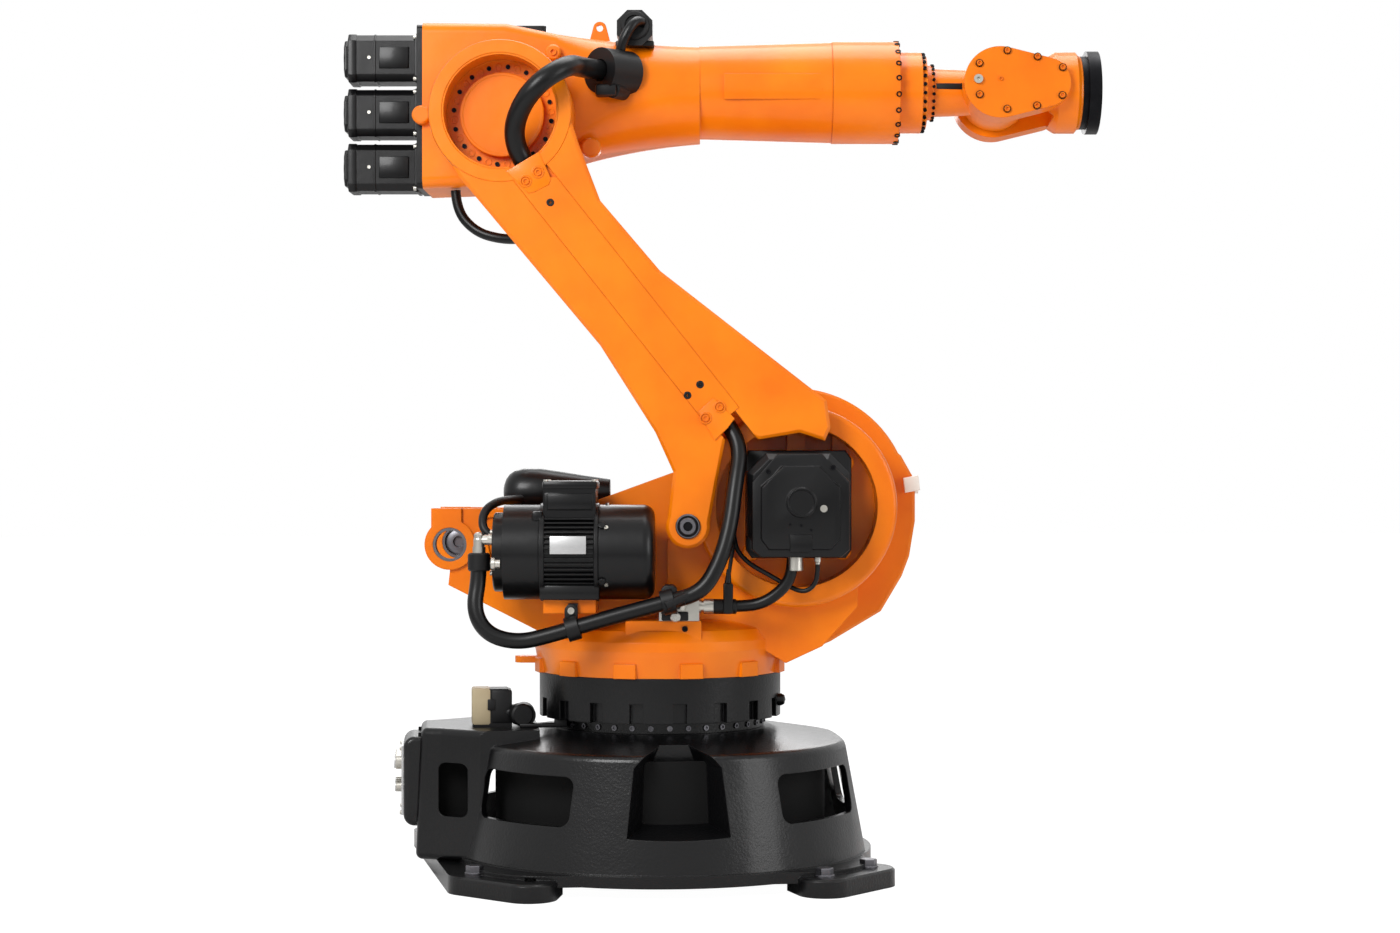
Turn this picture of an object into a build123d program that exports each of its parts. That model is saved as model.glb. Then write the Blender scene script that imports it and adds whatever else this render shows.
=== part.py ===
from build123d import *
import os
from math import atan2, cos, degrees, radians, sin

# A six-axis industrial robot arm on a cast base. Millimetres, +Z up, origin on the floor at the
# centre of the base, base square to X and Y. Everything above the turntable is drawn in the arm's
# own plane (x forward, y to the far side, z up) and then swung by turntable_angle.

# Main axes
turntable_angle = -6
shoulder_x = 324
shoulder_z = 877
link_length = 1150
link_lean = 36.94
elbow_rise = 82
wrist_reach = 1182
flange_reach = 245
wrist_roll = -5.4

elbow_x = shoulder_x - link_length * sin(radians(link_lean))
elbow_z = shoulder_z + link_length * cos(radians(link_lean))
forearm_z = elbow_z + elbow_rise
wrist_x = elbow_x + wrist_reach
flange_x = wrist_x + flange_reach

# Fits and gaps
seat_gap = 0.3
running_gap = 7

# Base casting
base_round = 505
base_taper = 50
base_flat = 480
base_shoulder_z = 315
base_wall = 16
base_deck = 26
base_neck_r = 268
base_neck_z = 345
foot_thickness = 42
flange_low_z = 26
flange_top_z = 54
flange_lip = 6
foot_bolt_a = 334
foot_bolt_b = 455
foot_pad_r = 62
foot_hole_r = 13.5
ledge_x = -534
ledge_y = 404
base_plate = 462
base_corner = 190
window_angle = 48
window_w = 290
window_h = 112
window_z = 210
window_corner = 24
niche_front_y = -525
niche_back_y = -352
niche_front = ((144, 120), (140, 288), (46, 365))
niche_back = ((56, 168), (50, 290), (20, 365))

# Cable entry at the back of the base
entry_back_x = 590
entry_half = 112
entry_mid_x = 535
entry_mid_half = 136
entry_flare_x = 440
entry_flare_half = 200
entry_taper = 14
entry_top_z = 352
entry_window_x = -502
entry_window_w = 68
box_depth = 28
box_half = 92
box_low_z = 118
plug_box_h = 90

# Turntable
bearing_r = 252
bearing_low_z = 345
bearing_top_z = 372
collar_r = bearing_r + 40
collar_low_z = 372.5
collar_top_z = 478
collar_wall = 30
collar_disc = 22
notch_count = 18
notch_w = 33
notch_h = 52

# Column casting
skirt_flare = 12
column_skirt_z = 562
column_deck_z = 612
cup_outer_r = 237
cup_inner_r = 190
cup_front_y = -215
cup_floor_y = -122
disc_r = 285
disc_front_y = 5
disc_back_y = 92
wall_thickness = 24
wall_near_y = -150
wall_far_y = 92
ear_x = -496
ear_z = 786
ear_r = 60
ear_bore_r = 40
ear_lug_w = 72
ear_lug_h = 52
cylinder_y = -30
cup_openings = ((257, 95), (380, 64))
cup_opening_z = 1028
cup_opening_h = 44
cup_opening_depth = 40
accumulator_z = 930
wall_crest_x = 30
wall_crest_z = 956
tab_z = 496
turret_pad_count = 12
disc_edge = (
    (356, 1137), (503, 1083), (537, 1035), (586, 998), (620, 937), (620, 839), (606, 753), (588, 705),
    (537, 619), (415, 546), (386, 533), (298, 492), (200, 600), (150, 877), (200, 1100),
)

# Shoulder
shoulder_gear_r = 205
shoulder_gear_t = 34
hub_r = 232
hub_back_y = 208
motor_box = 236
motor_box_front_y = -318

# Link arm
arm_near_y = -290
arm_ring_r = 167
arm_ring_back_y = -158
arm_recess_r = 131
arm_recess_depth = 88
elbow_cover_r = 96
arm_cheek_back_y = -228
arm_waist_y = -213
pin_x = 69
pin_z = 832
pin_boss_r = 51
pin_r = 25
strip_w = 84
strip_t = 10
channel_w = 60
channel_depth = 64
strip_top_s = 1025.4
strip_top_across = -30.9
strip_low_s = 265.4
strip_low_across = -11.9
arm_clear_r = 322

# Forearm
forearm_half = 132
forearm_back_x = elbow_x - 197
forearm_front_x = wrist_x - 400
tube_waist_r = 112
tube_waist_x = elbow_x + 464
tube_r = 121
wrist_drum_front_x = wrist_x - 239
wrist_drum_r = tube_r - 1
adapter_t = 17
motor_size = 112
motor_length = 168
motor_z_top = forearm_z + 78
motor_pitch = 132
elbow_motor_r = 72
elbow_motor_length = 210

# Wrist
wrist_gear_r = 97.5
wrist_ring_r = 88.5
wrist_gear_end_x = wrist_x - 183
wrist_ring_end_x = wrist_x - 171
neck_flange_r = 66
neck_start_r = 58
neck_end_r = 52
hub_head_r = 88
cheek_gap = 60
cheek_y = 115
cheek_r = 87
nose_r = 98
nose_start = 142
nose_end = 202
cheek_swing_r = 150
flange_r = 100
flange_t = 29
flange_hole_count = 12
flange_pcd = 160
flange_hole_r = 5.1
flange_bore_r = 50


def drum_y(x, z, r, y0, y1):
    """A round bar that lies along the arm's y, from y0 to y1."""
    return Pos(x, (y0 + y1) / 2, z) * Rot(90, 0, 0) * Cylinder(r, abs(y1 - y0))


def drum_x(r, x0, x1, y, z):
    """A round bar that lies along the arm's x, from x0 to x1."""
    return Pos((x0 + x1) / 2, y, z) * Rot(0, 90, 0) * Cylinder(r, abs(x1 - x0))


def drum_z(x, y, r, z0, z1):
    return Pos(x, y, (z0 + z1) / 2) * Cylinder(r, abs(z1 - z0))


def block(x0, x1, y0, y1, z0, z1):
    size = abs(x1 - x0), abs(y1 - y0), abs(z1 - z0)
    return Pos((x0 + x1) / 2, (y0 + y1) / 2, (z0 + z1) / 2) * Box(*size)


def slab(face, y0, y1):
    """A face drawn in x and z, made solid from y0 to y1."""
    low, high = min(y0, y1), max(y0, y1)
    side = Plane(origin=(0, high, 0), x_dir=(1, 0, 0), z_dir=(0, -1, 0))
    return extrude(side * face, amount=high - low)


def outline(*points):
    return make_face(Polyline(*points, close=True))


def seated(piece, carrier, x=0.0, y=0.0, z=0.0):
    """The piece cut to the shape of what carries it and set a hair off it."""
    return Pos(x, y, z) * (piece - carrier)


def hull_of(*circles):
    """The face that wraps a set of circles, each given as x, z, radius."""
    edges = [edge for x, z, r in circles for edge in (Pos(x, z) * Circle(r)).edges()]
    return make_hull(edges)


def ring_of(shape, count, radius, start=0.0):
    """Copies of a shape around the Z axis, each moved out by the radius."""
    return [Rot(0, 0, start + 360 * i / count) * Pos(radius, 0, 0) * shape for i in range(count)]


# Base casting
def base_cone(shrink, low, high):
    """The round cone between two heights, drawn in from the outer skin."""
    slope = base_taper / (base_shoulder_z - foot_thickness)
    low_r = base_round - shrink - slope * (low - foot_thickness)
    high_r = base_round - shrink - slope * (high - foot_thickness)
    return Pos(0, 0, (low + high) / 2) * Cone(low_r, high_r, high - low)


def flats(shrink, low, high):
    """The space between the two sloping flats that cut the cone at the front and the back."""
    slope = base_taper / (base_shoulder_z - foot_thickness)
    low_half = base_flat - shrink - slope * (low - foot_thickness)
    high_half = base_flat - shrink - slope * (high - foot_thickness)
    depth = 2 * base_round + 40
    low_face = Pos(0, 0, low) * Rectangle(2 * low_half, depth)
    return loft([low_face, Pos(0, 0, high) * Rectangle(2 * high_half, depth)])


def entry_outline(draw_in):
    """The squared housing and the flared facets that join it to the round casting."""
    depth, half = entry_back_x - draw_in, entry_half - draw_in
    mid_x, mid_half = entry_mid_x - draw_in / 2, entry_mid_half - draw_in
    flare_x, flare_half = entry_flare_x, entry_flare_half - draw_in
    near = (
        (-depth, -half), (-mid_x, -mid_half), (-flare_x, -flare_half), (-flare_x + 140, -flare_half),
    )
    return outline(*near, *((x, -y) for x, y in reversed(near)))


def cable_entry(shrink, low, high):
    """The housing at the back, where the cables come in."""
    low_face = Pos(0, 0, low) * entry_outline(shrink)
    return loft([low_face, Pos(0, 0, high) * entry_outline(shrink + entry_taper)])


def niche(grow):
    """The recess at the near side, narrower at its back, grown by a wall for its lining."""
    faces = []
    for y, corners in ((niche_back_y + grow, niche_back), (niche_front_y, niche_front)):
        side = Plane(origin=(0, y, 0), x_dir=(1, 0, 0), z_dir=(0, -1, 0))
        (low_x, low_z), (bend_x, bend_z), (top_x, top_z) = corners
        low_x, bend_x, top_x, low_z = low_x + grow, bend_x + grow, top_x + grow, low_z - grow
        faces.append(side * outline(
            (-low_x, low_z), (low_x, low_z), (bend_x, bend_z), (top_x, top_z), (-top_x, top_z),
            (-bend_x, bend_z),
        ))
    return loft(faces)


def foot_plate():
    """The bottom flange, raised off the floor between four bolted feet."""
    flange = extrude(RectangleRounded(2 * base_plate, 2 * base_plate, base_corner), amount=flange_low_z)
    plate = Pos(0, 0, flange_low_z) * flange
    lip_height = flange_top_z - flange_low_z
    plate += Pos(0, 0, flange_low_z + lip_height / 2) * Cylinder(base_round + flange_lip, lip_height)
    pad_face = hull_of(
        (foot_bolt_a, foot_bolt_b, foot_pad_r),
        (foot_bolt_b, foot_bolt_a, foot_pad_r),
        (300, 300, foot_pad_r),
    )
    pad = extrude(pad_face, amount=foot_thickness)
    pad = chamfer(pad.edges().group_by(Axis.Z)[-1], 5)
    for turn in (0, 90, 180, 270):
        plate += Rot(0, 0, turn) * pad
    ledge = hull_of(
        (-foot_bolt_b, -foot_bolt_a, foot_pad_r),
        (-foot_bolt_b, foot_bolt_a, foot_pad_r),
        (ledge_x, ledge_y, foot_pad_r),
    )
    plate += extrude(ledge, amount=foot_thickness)
    plate -= drum_z(0, 0, base_round - base_wall - 20, -5, flange_top_z + 5)
    for turn in (0, 90, 180, 270):
        for x, y in ((foot_bolt_a, foot_bolt_b), (foot_bolt_b, foot_bolt_a)):
            plate -= Rot(0, 0, turn) * drum_z(x, y, foot_hole_r, -5, foot_thickness + 5)
    return plate


def make_base_frame():
    deck_r = base_round - base_taper
    deck = Pos(0, 0, (base_shoulder_z + base_neck_z) / 2) * Cone(
        deck_r, base_neck_r, base_neck_z - base_shoulder_z
    )
    skin = base_cone(0, foot_thickness, base_shoulder_z) + deck
    skin = fillet(skin.edges().filter_by(GeomType.CIRCLE).group_by(Axis.Z)[1], 18)
    skin &= flats(0, 0, base_neck_z + 5)
    entry = cable_entry(0, foot_thickness, entry_top_z)
    entry = fillet(entry.edges().filter_by(lambda e: e.center().X < -entry_flare_x), 16)
    body = skin + entry
    room = base_cone(base_wall, foot_thickness - 1, base_shoulder_z - base_deck)
    room &= flats(base_wall, 0, base_neck_z)
    room += cable_entry(base_wall, foot_thickness - 1, entry_top_z - base_wall)
    lining = niche(base_wall) & body
    body = body - room + lining
    body -= drum_z(0, 0, 170, base_shoulder_z - 60, base_neck_z + 60)
    body -= niche(0)

    body -= drum_z(0, 0, bearing_r + running_gap, base_neck_z, entry_top_z + 5)
    pane = RectangleRounded(window_w, window_h, window_corner)
    window = slab(Pos(0, window_z) * pane, niche_front_y - 35, niche_back_y + 22)
    for turn in (window_angle, -window_angle, 180 - window_angle, 180 + window_angle):
        body -= Rot(0, 0, turn) * window
    front_pane = RectangleRounded(window_w / 2, window_h, window_corner)
    body -= Rot(0, 0, 90) * slab(Pos(0, window_z) * front_pane, niche_front_y, niche_back_y - 28)
    side_pane = RectangleRounded(entry_window_w, window_h + 14, 18)
    side = slab(Pos(entry_window_x, window_z) * side_pane, -220, 220)
    return body - side + foot_plate()


def make_bearing_ring():
    """The fixed ring and the inner race that the turntable runs on."""
    ring = drum_z(0, 0, bearing_r, bearing_low_z + seat_gap, bearing_top_z)
    ring += drum_z(0, 0, bearing_r - 14, bearing_top_z - 1, collar_top_z - collar_disc - seat_gap)
    return ring - drum_z(0, 0, 178, bearing_low_z - 5, collar_top_z + 5)


def make_connection_box():
    """The box with the cable sockets, bolted to the back of the cable entry."""
    x1 = -(entry_back_x + seat_gap)
    top_z = entry_top_z - 22
    box = block(x1 - box_depth, -(entry_back_x - entry_taper - 3), -box_half, box_half, box_low_z, top_z)
    box = fillet(box.edges().filter_by(Axis.Y).group_by(Axis.X)[0], 26)
    box = fillet(box.edges().filter_by(Axis.Z).group_by(Axis.X)[0], 12)
    return seated(box, make_base_frame(), x=-seat_gap)


def make_socket_panel():
    x1 = -(entry_back_x + 3 * seat_gap + box_depth)
    panel = block(x1 - 5, x1, -72, 72, box_low_z + 24, entry_top_z - 46)
    for y in (-44, 0, 44):
        panel += drum_x(17, x1 - 22, x1 - 4, y, 268)
        panel += drum_x(12, x1 - 20, x1 - 4, y, 208)
    return panel


def make_plug_housing():
    low = entry_top_z + seat_gap
    body = block(-455, -362, -96, -30, low, low + plug_box_h)
    return chamfer(body.edges().filter_by(Axis.Y).group_by(Axis.Z)[-1], 10)


def make_base_gland():
    z = entry_top_z + seat_gap + 26
    body = drum_y(-332, z + 2, 26, -110, -40)
    return body + block(-361.7, -332, -88, -72, z - 26 + 8, z - 6)


# Turntable and column
def make_gear_collar():
    collar = drum_z(0, 0, collar_r, collar_low_z, collar_top_z)
    collar -= drum_z(0, 0, collar_r - collar_wall, collar_low_z - 5, collar_top_z - collar_disc)
    notch = Box(26, notch_w, notch_h)
    for cutter in ring_of(notch, notch_count, collar_r - 3):
        collar -= Pos(0, 0, collar_low_z + notch_h / 2 - 6) * cutter
    return collar


def make_turret():
    """The round foot of the column: a skirt that widens upwards and rolls over into the deck."""
    wide_r = collar_r + skirt_flare
    half_profile = outline(
        (0, collar_top_z + seat_gap), (collar_r, collar_top_z + seat_gap), (wide_r, column_skirt_z - 22),
        (wide_r, column_skirt_z), (wide_r - 16, column_skirt_z + 26), (wide_r - 62, column_deck_z - 7),
        (wide_r - 120, column_deck_z), (0, column_deck_z),
    )
    turret = revolve(Plane.XZ * half_profile, Axis.Z)
    pad = Box(40, 54, 34)
    for cutter in ring_of(pad, turret_pad_count, collar_r - 8, start=15):
        turret += Pos(0, 0, collar_top_z + seat_gap + 17) * cutter
    return turret


def make_column():
    body = make_turret()
    pedestal = outline(
        (20, column_skirt_z - 2), (244, column_skirt_z - 22), (300, 506), (386, 546), (470, 640),
        (470, shoulder_z), (20, 800),
    )
    body += slab(pedestal, wall_near_y - 20, disc_back_y)
    disc_face = outline(*disc_edge) + Pos(shoulder_x, shoulder_z) * Circle(disc_r)
    disc = slab(disc_face, disc_front_y, disc_back_y)
    body += chamfer(disc.edges().group_by(Axis.Y)[0], 6)
    body -= block(588, 640, 11, 53, 905, 941)
    cup = drum_y(shoulder_x, shoulder_z, cup_outer_r, cup_front_y, disc_back_y)
    body += fillet(cup.edges().filter_by(GeomType.CIRCLE).group_by(Axis.Y)[0], 12)
    body += block(-330, -250, -22, 22, tab_z, tab_z + 16) + drum_z(-330, 0, 22, tab_z, tab_z + 16)
    body += block(-76, 100, -284, -240, 555, column_deck_z)

    wall = outline(
        (ear_x, ear_z - ear_r), (ear_x - 20, 872), (-200, 868), (-151, 890), (wall_crest_x, wall_crest_z),
        (wall_crest_x + 30, wall_crest_z), (wall_crest_x + 30, column_skirt_z), (-250, column_skirt_z),
        (-500, 690),
    )
    for y0, step in ((wall_near_y, -8), (wall_far_y - wall_thickness, 8)):
        body += slab(wall, y0, y0 + wall_thickness)
        boss = sorted((y0 + step, y0 + wall_thickness + step))
        boss = (min(boss[0], y0), max(boss[1], y0 + wall_thickness))
        body += drum_y(ear_x, ear_z, ear_r, *boss)
        body += slab(Pos(ear_x - 8, ear_z + ear_r) * Rectangle(ear_lug_w, ear_lug_h), *boss)
        body -= drum_y(ear_x, ear_z, ear_bore_r, boss[0] - 5, boss[1] + 5)
    pocket = fillet(outline((-420, 850), (-220, 850), (-220, 670), (-380, 670)).vertices(), 16)
    body -= slab(pocket, wall_near_y - 5, wall_near_y + 6)
    body -= drum_y(shoulder_x, shoulder_z, cup_inner_r, cup_front_y - 5, cup_floor_y)
    for x, width in cup_openings:
        pane = Pos(x, cup_opening_z) * RectangleRounded(width, cup_opening_h, 10)
        body -= slab(pane, cup_floor_y - 5, cup_floor_y + cup_opening_depth)
    return body


def make_shoulder_gear():
    y0, y1 = disc_back_y + seat_gap, disc_back_y + shoulder_gear_t
    return drum_y(shoulder_x, shoulder_z, shoulder_gear_r, y0, y1)


def make_shoulder_motor():
    half = motor_box / 2
    face = chamfer(Rectangle(motor_box, motor_box).vertices(), 44)
    body = slab(Pos(shoulder_x, shoulder_z + 6) * face, motor_box_front_y, cup_floor_y - seat_gap)
    body = chamfer(body.faces().sort_by(Axis.Y)[0].edges(), 14)
    body += drum_y(shoulder_x, shoulder_z + 6, 32, motor_box_front_y - 12, motor_box_front_y + 5)
    return body


def make_counterbalance():
    """The balance cylinder that hangs between the two walls on its trunnions."""
    body = drum_x(64, -430, -30, cylinder_y, ear_z) + drum_x(50, -446, -30, cylinder_y, ear_z)
    near = wall_near_y + wall_thickness + seat_gap
    return body + drum_y(-250, ear_z, 26, near, wall_far_y - wall_thickness - seat_gap)


def make_accumulator():
    """The gas vessel on the cylinder: a round end, a belly and a neck."""
    low = ear_z + 64 + seat_gap
    half_profile = outline(
        (-377, 0), (-376, 22), (-365, 48), (-345, 68), (-315, 78), (-280, 78), (-240, 72),
        (-190, 55), (-120, 38), (-120, 0),
    )
    bottle = Pos(0, cylinder_y, accumulator_z) * revolve(Plane.XZ * half_profile, Axis.X)
    return bottle + drum_z(-280, cylinder_y, 24, low, accumulator_z - 40)


# Horizontal motor at the near side
fan_motor_y = -270
fan_motor_z = 772
fan_motor_r = 110


def make_fan_motor():
    body = drum_x(fan_motor_r - 6, -272, -136, fan_motor_y, fan_motor_z)
    body += block(-264, -143, fan_motor_y - 72, fan_motor_y + 72, fan_motor_z + 60, 934)
    return body


def make_fan_motor_end():
    return drum_x(fan_motor_r, -357, -272 - seat_gap, fan_motor_y, fan_motor_z) + drum_x(
        fan_motor_r - 22, -376, -350, fan_motor_y, fan_motor_z
    )


def make_fan_motor_cowl():
    cowl = drum_x(fan_motor_r, -136 + seat_gap, -8, fan_motor_y, fan_motor_z)
    return fillet(cowl.faces().sort_by(Axis.X)[-1].edges(), 26)


def make_motor_bracket():
    """The casting foot that carries the motor on the column wall."""
    low_z = 632
    bar = block(-264, -143, -330, wall_near_y - seat_gap, low_z, fan_motor_z - fan_motor_r + 18)
    return bar - drum_x(fan_motor_r - 6 + seat_gap, -400, 0, fan_motor_y, fan_motor_z)


def make_motor_fittings():
    body = drum_x(11, -412, -376 - seat_gap, fan_motor_y - 58, 801)
    body += Pos(-412, fan_motor_y - 58, 801) * Sphere(13)
    body += drum_z(-412, fan_motor_y - 58, 13, 772, 801)
    return body


# Sockets, clamps and hoses on the column
def tube_along(points, radii, r):
    """A hose: straight runs joined by tangent arcs."""
    path = FilletPolyline(*points, radius=radii)
    start = Plane(origin=points[0], z_dir=Vector(*points[1]) - Vector(*points[0]))
    return sweep(start * Circle(r), path=path)


def bend_radii(points):
    """The largest arc that each corner's two runs leave room for."""
    radii = []
    for a, b, c in zip(points, points[1:], points[2:]):
        before, after = Vector(*b) - Vector(*a), Vector(*c) - Vector(*b)
        half_turn = radians(before.get_angle(after)) / 2
        radii.append(0.45 * min(before.length, after.length) * cos(half_turn) / sin(half_turn))
    return radii


def hose(points, r):
    return tube_along(points, bend_radii(points), r)


hose_r = 20
hose_y = -352
clip_width = 24
clip_gap = 0.8
rear_clip = {"x": -195, "z": 599.5, "lean": 73.3, "tab_y": fan_motor_y - 60, "tab_top": 656}
front_clip = {"x": 24, "z": 660.5, "lean": 75, "tab_y": fan_motor_y - 12, "tab_top": 668}
motor_hose_route = [
    (-412, fan_motor_y - 58, 771.7), (-412, fan_motor_y - 58, 715), (-424, -345, 640),
    (-392, hose_y, 585), (-320, hose_y, 566), (-240, hose_y, 586), (-150, hose_y, 613),
    (-60, hose_y, 638), (59.7, hose_y, 670),
]
shoulder_hose_route = [
    (60, hose_y, 670.1), (100, hose_y, 680.8), (140, -348, 745), (166, -335, 830), (178, -315, 925),
    (192, -280, 1010), (165, -254.5, 1069.4), (130, -254.5, 1113.6),
]
power_lead_route = [
    (124, -262, 645), (180, -262, 645), (240, -266, 650), (290, -276, 685), (312, -282, 725),
    (312, -282, 764.7),
]


def make_connector_block():
    body = block(2, 95, -282, -242, column_deck_z + seat_gap, 676)
    return body + drum_x(12, 90, 123.7, -262, 645)


def make_clip(x, z, lean, tab_y, tab_top):
    """A rubber-lined clip around the motor hose, with the tab that is screwed on."""
    bore = Pos(x, hose_y, z) * Rot(0, lean, 0) * Cylinder(hose_r + clip_gap, clip_width + 30)
    ring = Pos(x, hose_y, z) * Rot(0, lean, 0) * Cylinder(hose_r + 8, clip_width)
    tab = block(x - 11, x + 11, hose_y + 10, tab_y - seat_gap, z - 10, tab_top)
    return ring + tab - bore


def make_bumper():
    return block(588.3, 628, 11.3, 52.7, 905.3, 940.7)


# Link arm
def on_link(s, across):
    """A point in x and z, from its place along the link and its distance to the front of it."""
    lean_sin, lean_cos = sin(radians(link_lean)), cos(radians(link_lean))
    return (
        shoulder_x - s * lean_sin + across * lean_cos,
        shoulder_z + s * lean_cos + across * lean_sin,
    )


def make_link_arm():
    elbow_ring = drum_y(elbow_x, elbow_z, arm_ring_r, arm_near_y, arm_ring_back_y)
    elbow_ring = fillet(elbow_ring.edges().filter_by(GeomType.CIRCLE).group_by(Axis.Y)[0], 8)
    cheek_face = outline(
        on_link(780, -148), on_link(576, -141), on_link(337, -160), on_link(239, -182), (20, pin_z),
        (118, pin_z), (155, 1031), (185, 1054), (236, 1034), (329, 1050), (387, 1031), (400, 1061),
        on_link(157, 202), on_link(630, 74), on_link(780, 64),
    )
    cheek = slab(cheek_face + Pos(pin_x, pin_z) * Circle(pin_boss_r), arm_near_y, arm_cheek_back_y)
    cheek = chamfer(cheek.edges().group_by(Axis.Y)[0], 7)
    shaft_face = outline(
        on_link(link_length, -160), on_link(1085, -168), on_link(576, -141), on_link(400, -110),
        on_link(0, -110),
        on_link(0, 232), on_link(157, 202), on_link(630, 74), on_link(844, 61), on_link(980, 100),
        on_link(link_length, 160),
    ) + Pos(shoulder_x, shoulder_z) * Circle(hub_r)
    shaft = slab(shaft_face, arm_near_y, hub_back_y)
    shaft = chamfer(shaft.edges().group_by(Axis.Y)[0], 7)

    along = Vector(-sin(radians(link_lean)), 0, cos(radians(link_lean)))
    across = Vector(cos(radians(link_lean)), 0, sin(radians(link_lean)))
    middle = Vector(shoulder_x, 0, shoulder_z) - across * 400
    side_plane = Plane(origin=middle, x_dir=along, z_dir=across)
    # Here x runs up the link and y runs towards the near side
    side_face = outline(
        (-hub_r - 1, -hub_back_y), (380, -hub_back_y), (640, 80), (760, -arm_waist_y), (1190, -arm_waist_y),
        (1190, 290), (-hub_r - 1, 290),
    )
    shaft &= extrude(side_plane * side_face, amount=800)
    shaft -= drum_y(shoulder_x, shoulder_z, arm_clear_r, arm_near_y - 5, disc_back_y + running_gap)
    gear_room = shoulder_gear_r + running_gap
    shaft -= drum_y(shoulder_x, shoulder_z, gear_room, disc_back_y, disc_back_y + shoulder_gear_t + seat_gap)
    body = cheek + shaft + elbow_ring
    body -= drum_y(elbow_x, elbow_z, arm_recess_r, arm_near_y - 5, arm_near_y + arm_recess_depth)
    body -= drum_y(pin_x, pin_z, pin_r + seat_gap, arm_near_y - 5, arm_cheek_back_y + 5)
    body -= cover_cut(strip_w, arm_near_y - 5, arm_near_y + strip_t)
    body -= cover_cut(channel_w, arm_near_y - 5, arm_near_y + channel_depth, 30, 90)
    return body


def cover_cut(width, y0, y1, more_top=0, more_low=0):
    """The slot down the middle of the link, from the elbow recess to the lower mouth."""
    top = Vector(*on_link(strip_top_s, strip_top_across))
    low = Vector(*on_link(strip_low_s, strip_low_across))
    aim = (low - top).normalized()
    top, low = top - aim * more_top, low + aim * more_low
    run = low - top
    middle = (top + low) / 2
    angle = degrees(atan2(run.Y, run.X))
    return slab(Pos(middle.X, middle.Y) * Rot(0, 0, angle) * Rectangle(run.length, width), y0, y1)


def make_cover_strip():
    strip = cover_cut(strip_w - 2 * seat_gap, arm_near_y - 1.5, arm_near_y + strip_t - seat_gap)
    low_z = on_link(strip_low_s, strip_low_across)[1] - 20
    top_z = on_link(strip_top_s, strip_top_across)[1] - 36
    return strip & block(-400, 400, -400, 0, low_z, top_z)


def make_elbow_cover():
    y1 = arm_near_y + arm_recess_depth - seat_gap
    return drum_y(elbow_x, elbow_z, elbow_cover_r, y1 - 20, y1)


def make_pin():
    return drum_y(pin_x, pin_z, pin_r, arm_near_y - 6, arm_cheek_back_y)


# Forearm
def forearm_section(x, half_y, low_z, high_z, corner):
    """A rounded rectangle across the forearm at x."""
    across = Plane(origin=(x, 0, (low_z + high_z) / 2), x_dir=(0, 1, 0), z_dir=(1, 0, 0))
    return across * RectangleRounded(2 * half_y, high_z - low_z, corner)


def make_forearm():
    """The rear box, a loft that runs from its rounded square into the round tube, and the tube."""
    x, z = elbow_x, forearm_z
    neck_x = x + 124
    profile = outline(
        (forearm_back_x, z + 152), (x + 2, z + 150), (neck_x, z + 125), (neck_x, z - 178),
        (x - 22, z - 238), (forearm_back_x, z - 244),
    )
    box = slab(profile, -forearm_half, forearm_half)
    long_edges = box.edges().filter_by(
        lambda e: abs(e.center().Y) > forearm_half - 1 and forearm_back_x + 2 < e.center().X < neck_x - 2
    )
    box = fillet(long_edges, 26)
    transition = loft([
        forearm_section(neck_x - 1, forearm_half, z - 178, z + 125, 26),
        forearm_section(x + 307, forearm_half - 6, z - 142, z + 116, 108),
        forearm_section(tube_waist_x, tube_waist_r + 2, z - 124, z + 110, tube_waist_r),
    ])
    tube_length = forearm_front_x - tube_waist_x + 2
    middle = Pos(tube_waist_x - 2 + tube_length / 2, 0, z)
    tube = middle * Rot(0, 90, 0) * Cone(tube_waist_r, tube_r, tube_length)
    boss = drum_y(x, elbow_z, arm_ring_r - 17, arm_ring_back_y + seat_gap, 0)
    return box + transition + tube + boss


def make_wrist_drum():
    return drum_x(wrist_drum_r + 3, forearm_front_x + seat_gap, wrist_drum_front_x, 0, forearm_z)


def make_wrist_gear():
    body = drum_x(wrist_gear_r, wrist_drum_front_x + seat_gap, wrist_gear_end_x, 0, forearm_z)
    return body + drum_x(wrist_ring_r, wrist_gear_end_x, wrist_ring_end_x, 0, forearm_z)


def make_adapter():
    low_z, high_z = forearm_z - 242, forearm_z + 152
    plate = block(forearm_back_x - adapter_t, forearm_back_x - seat_gap, -96, 96, low_z, high_z)
    return fillet(plate.edges().filter_by(Axis.X), 14)


def make_wrist_motor(index):
    z = motor_z_top - motor_pitch * index
    back = forearm_back_x - adapter_t - seat_gap
    face = chamfer(Rectangle(motor_size, motor_size).vertices(), 16)
    side = Plane(origin=(back, 0, z), x_dir=(0, 1, 0), z_dir=(-1, 0, 0))
    body = extrude(side * face, amount=motor_length)
    body += drum_x(40, back - motor_length - 14, back - motor_length, 0, z)
    return body


def make_elbow_motor():
    return drum_y(elbow_x, elbow_z, elbow_motor_r, forearm_half + seat_gap, forearm_half + elbow_motor_length)


def make_elbow_motor_box():
    top_z = forearm_z + 167
    box = block(elbow_x - 2, elbow_x + 89, 20, 110, top_z - 40, top_z)
    box = fillet(box.edges().filter_by(Axis.Z), 10)
    return seated(box, make_forearm(), z=seat_gap)


def make_lifting_lug():
    x, z = elbow_x + 221, forearm_z + 156
    face = hull_of((x, z, 16), (x - 22, z - 44, 6), (x + 22, z - 44, 6))
    lug = slab(face, -7, 7) - drum_y(x, z, 8, -10, 10)
    return seated(lug, make_forearm(), z=seat_gap)


def make_cable_box():
    face = Pos(elbow_x + 308, forearm_z + 140) * RegularPolygon(46, 8, rotation=22.5)
    return seated(slab(face, -112, -30), make_forearm(), z=seat_gap)


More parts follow.
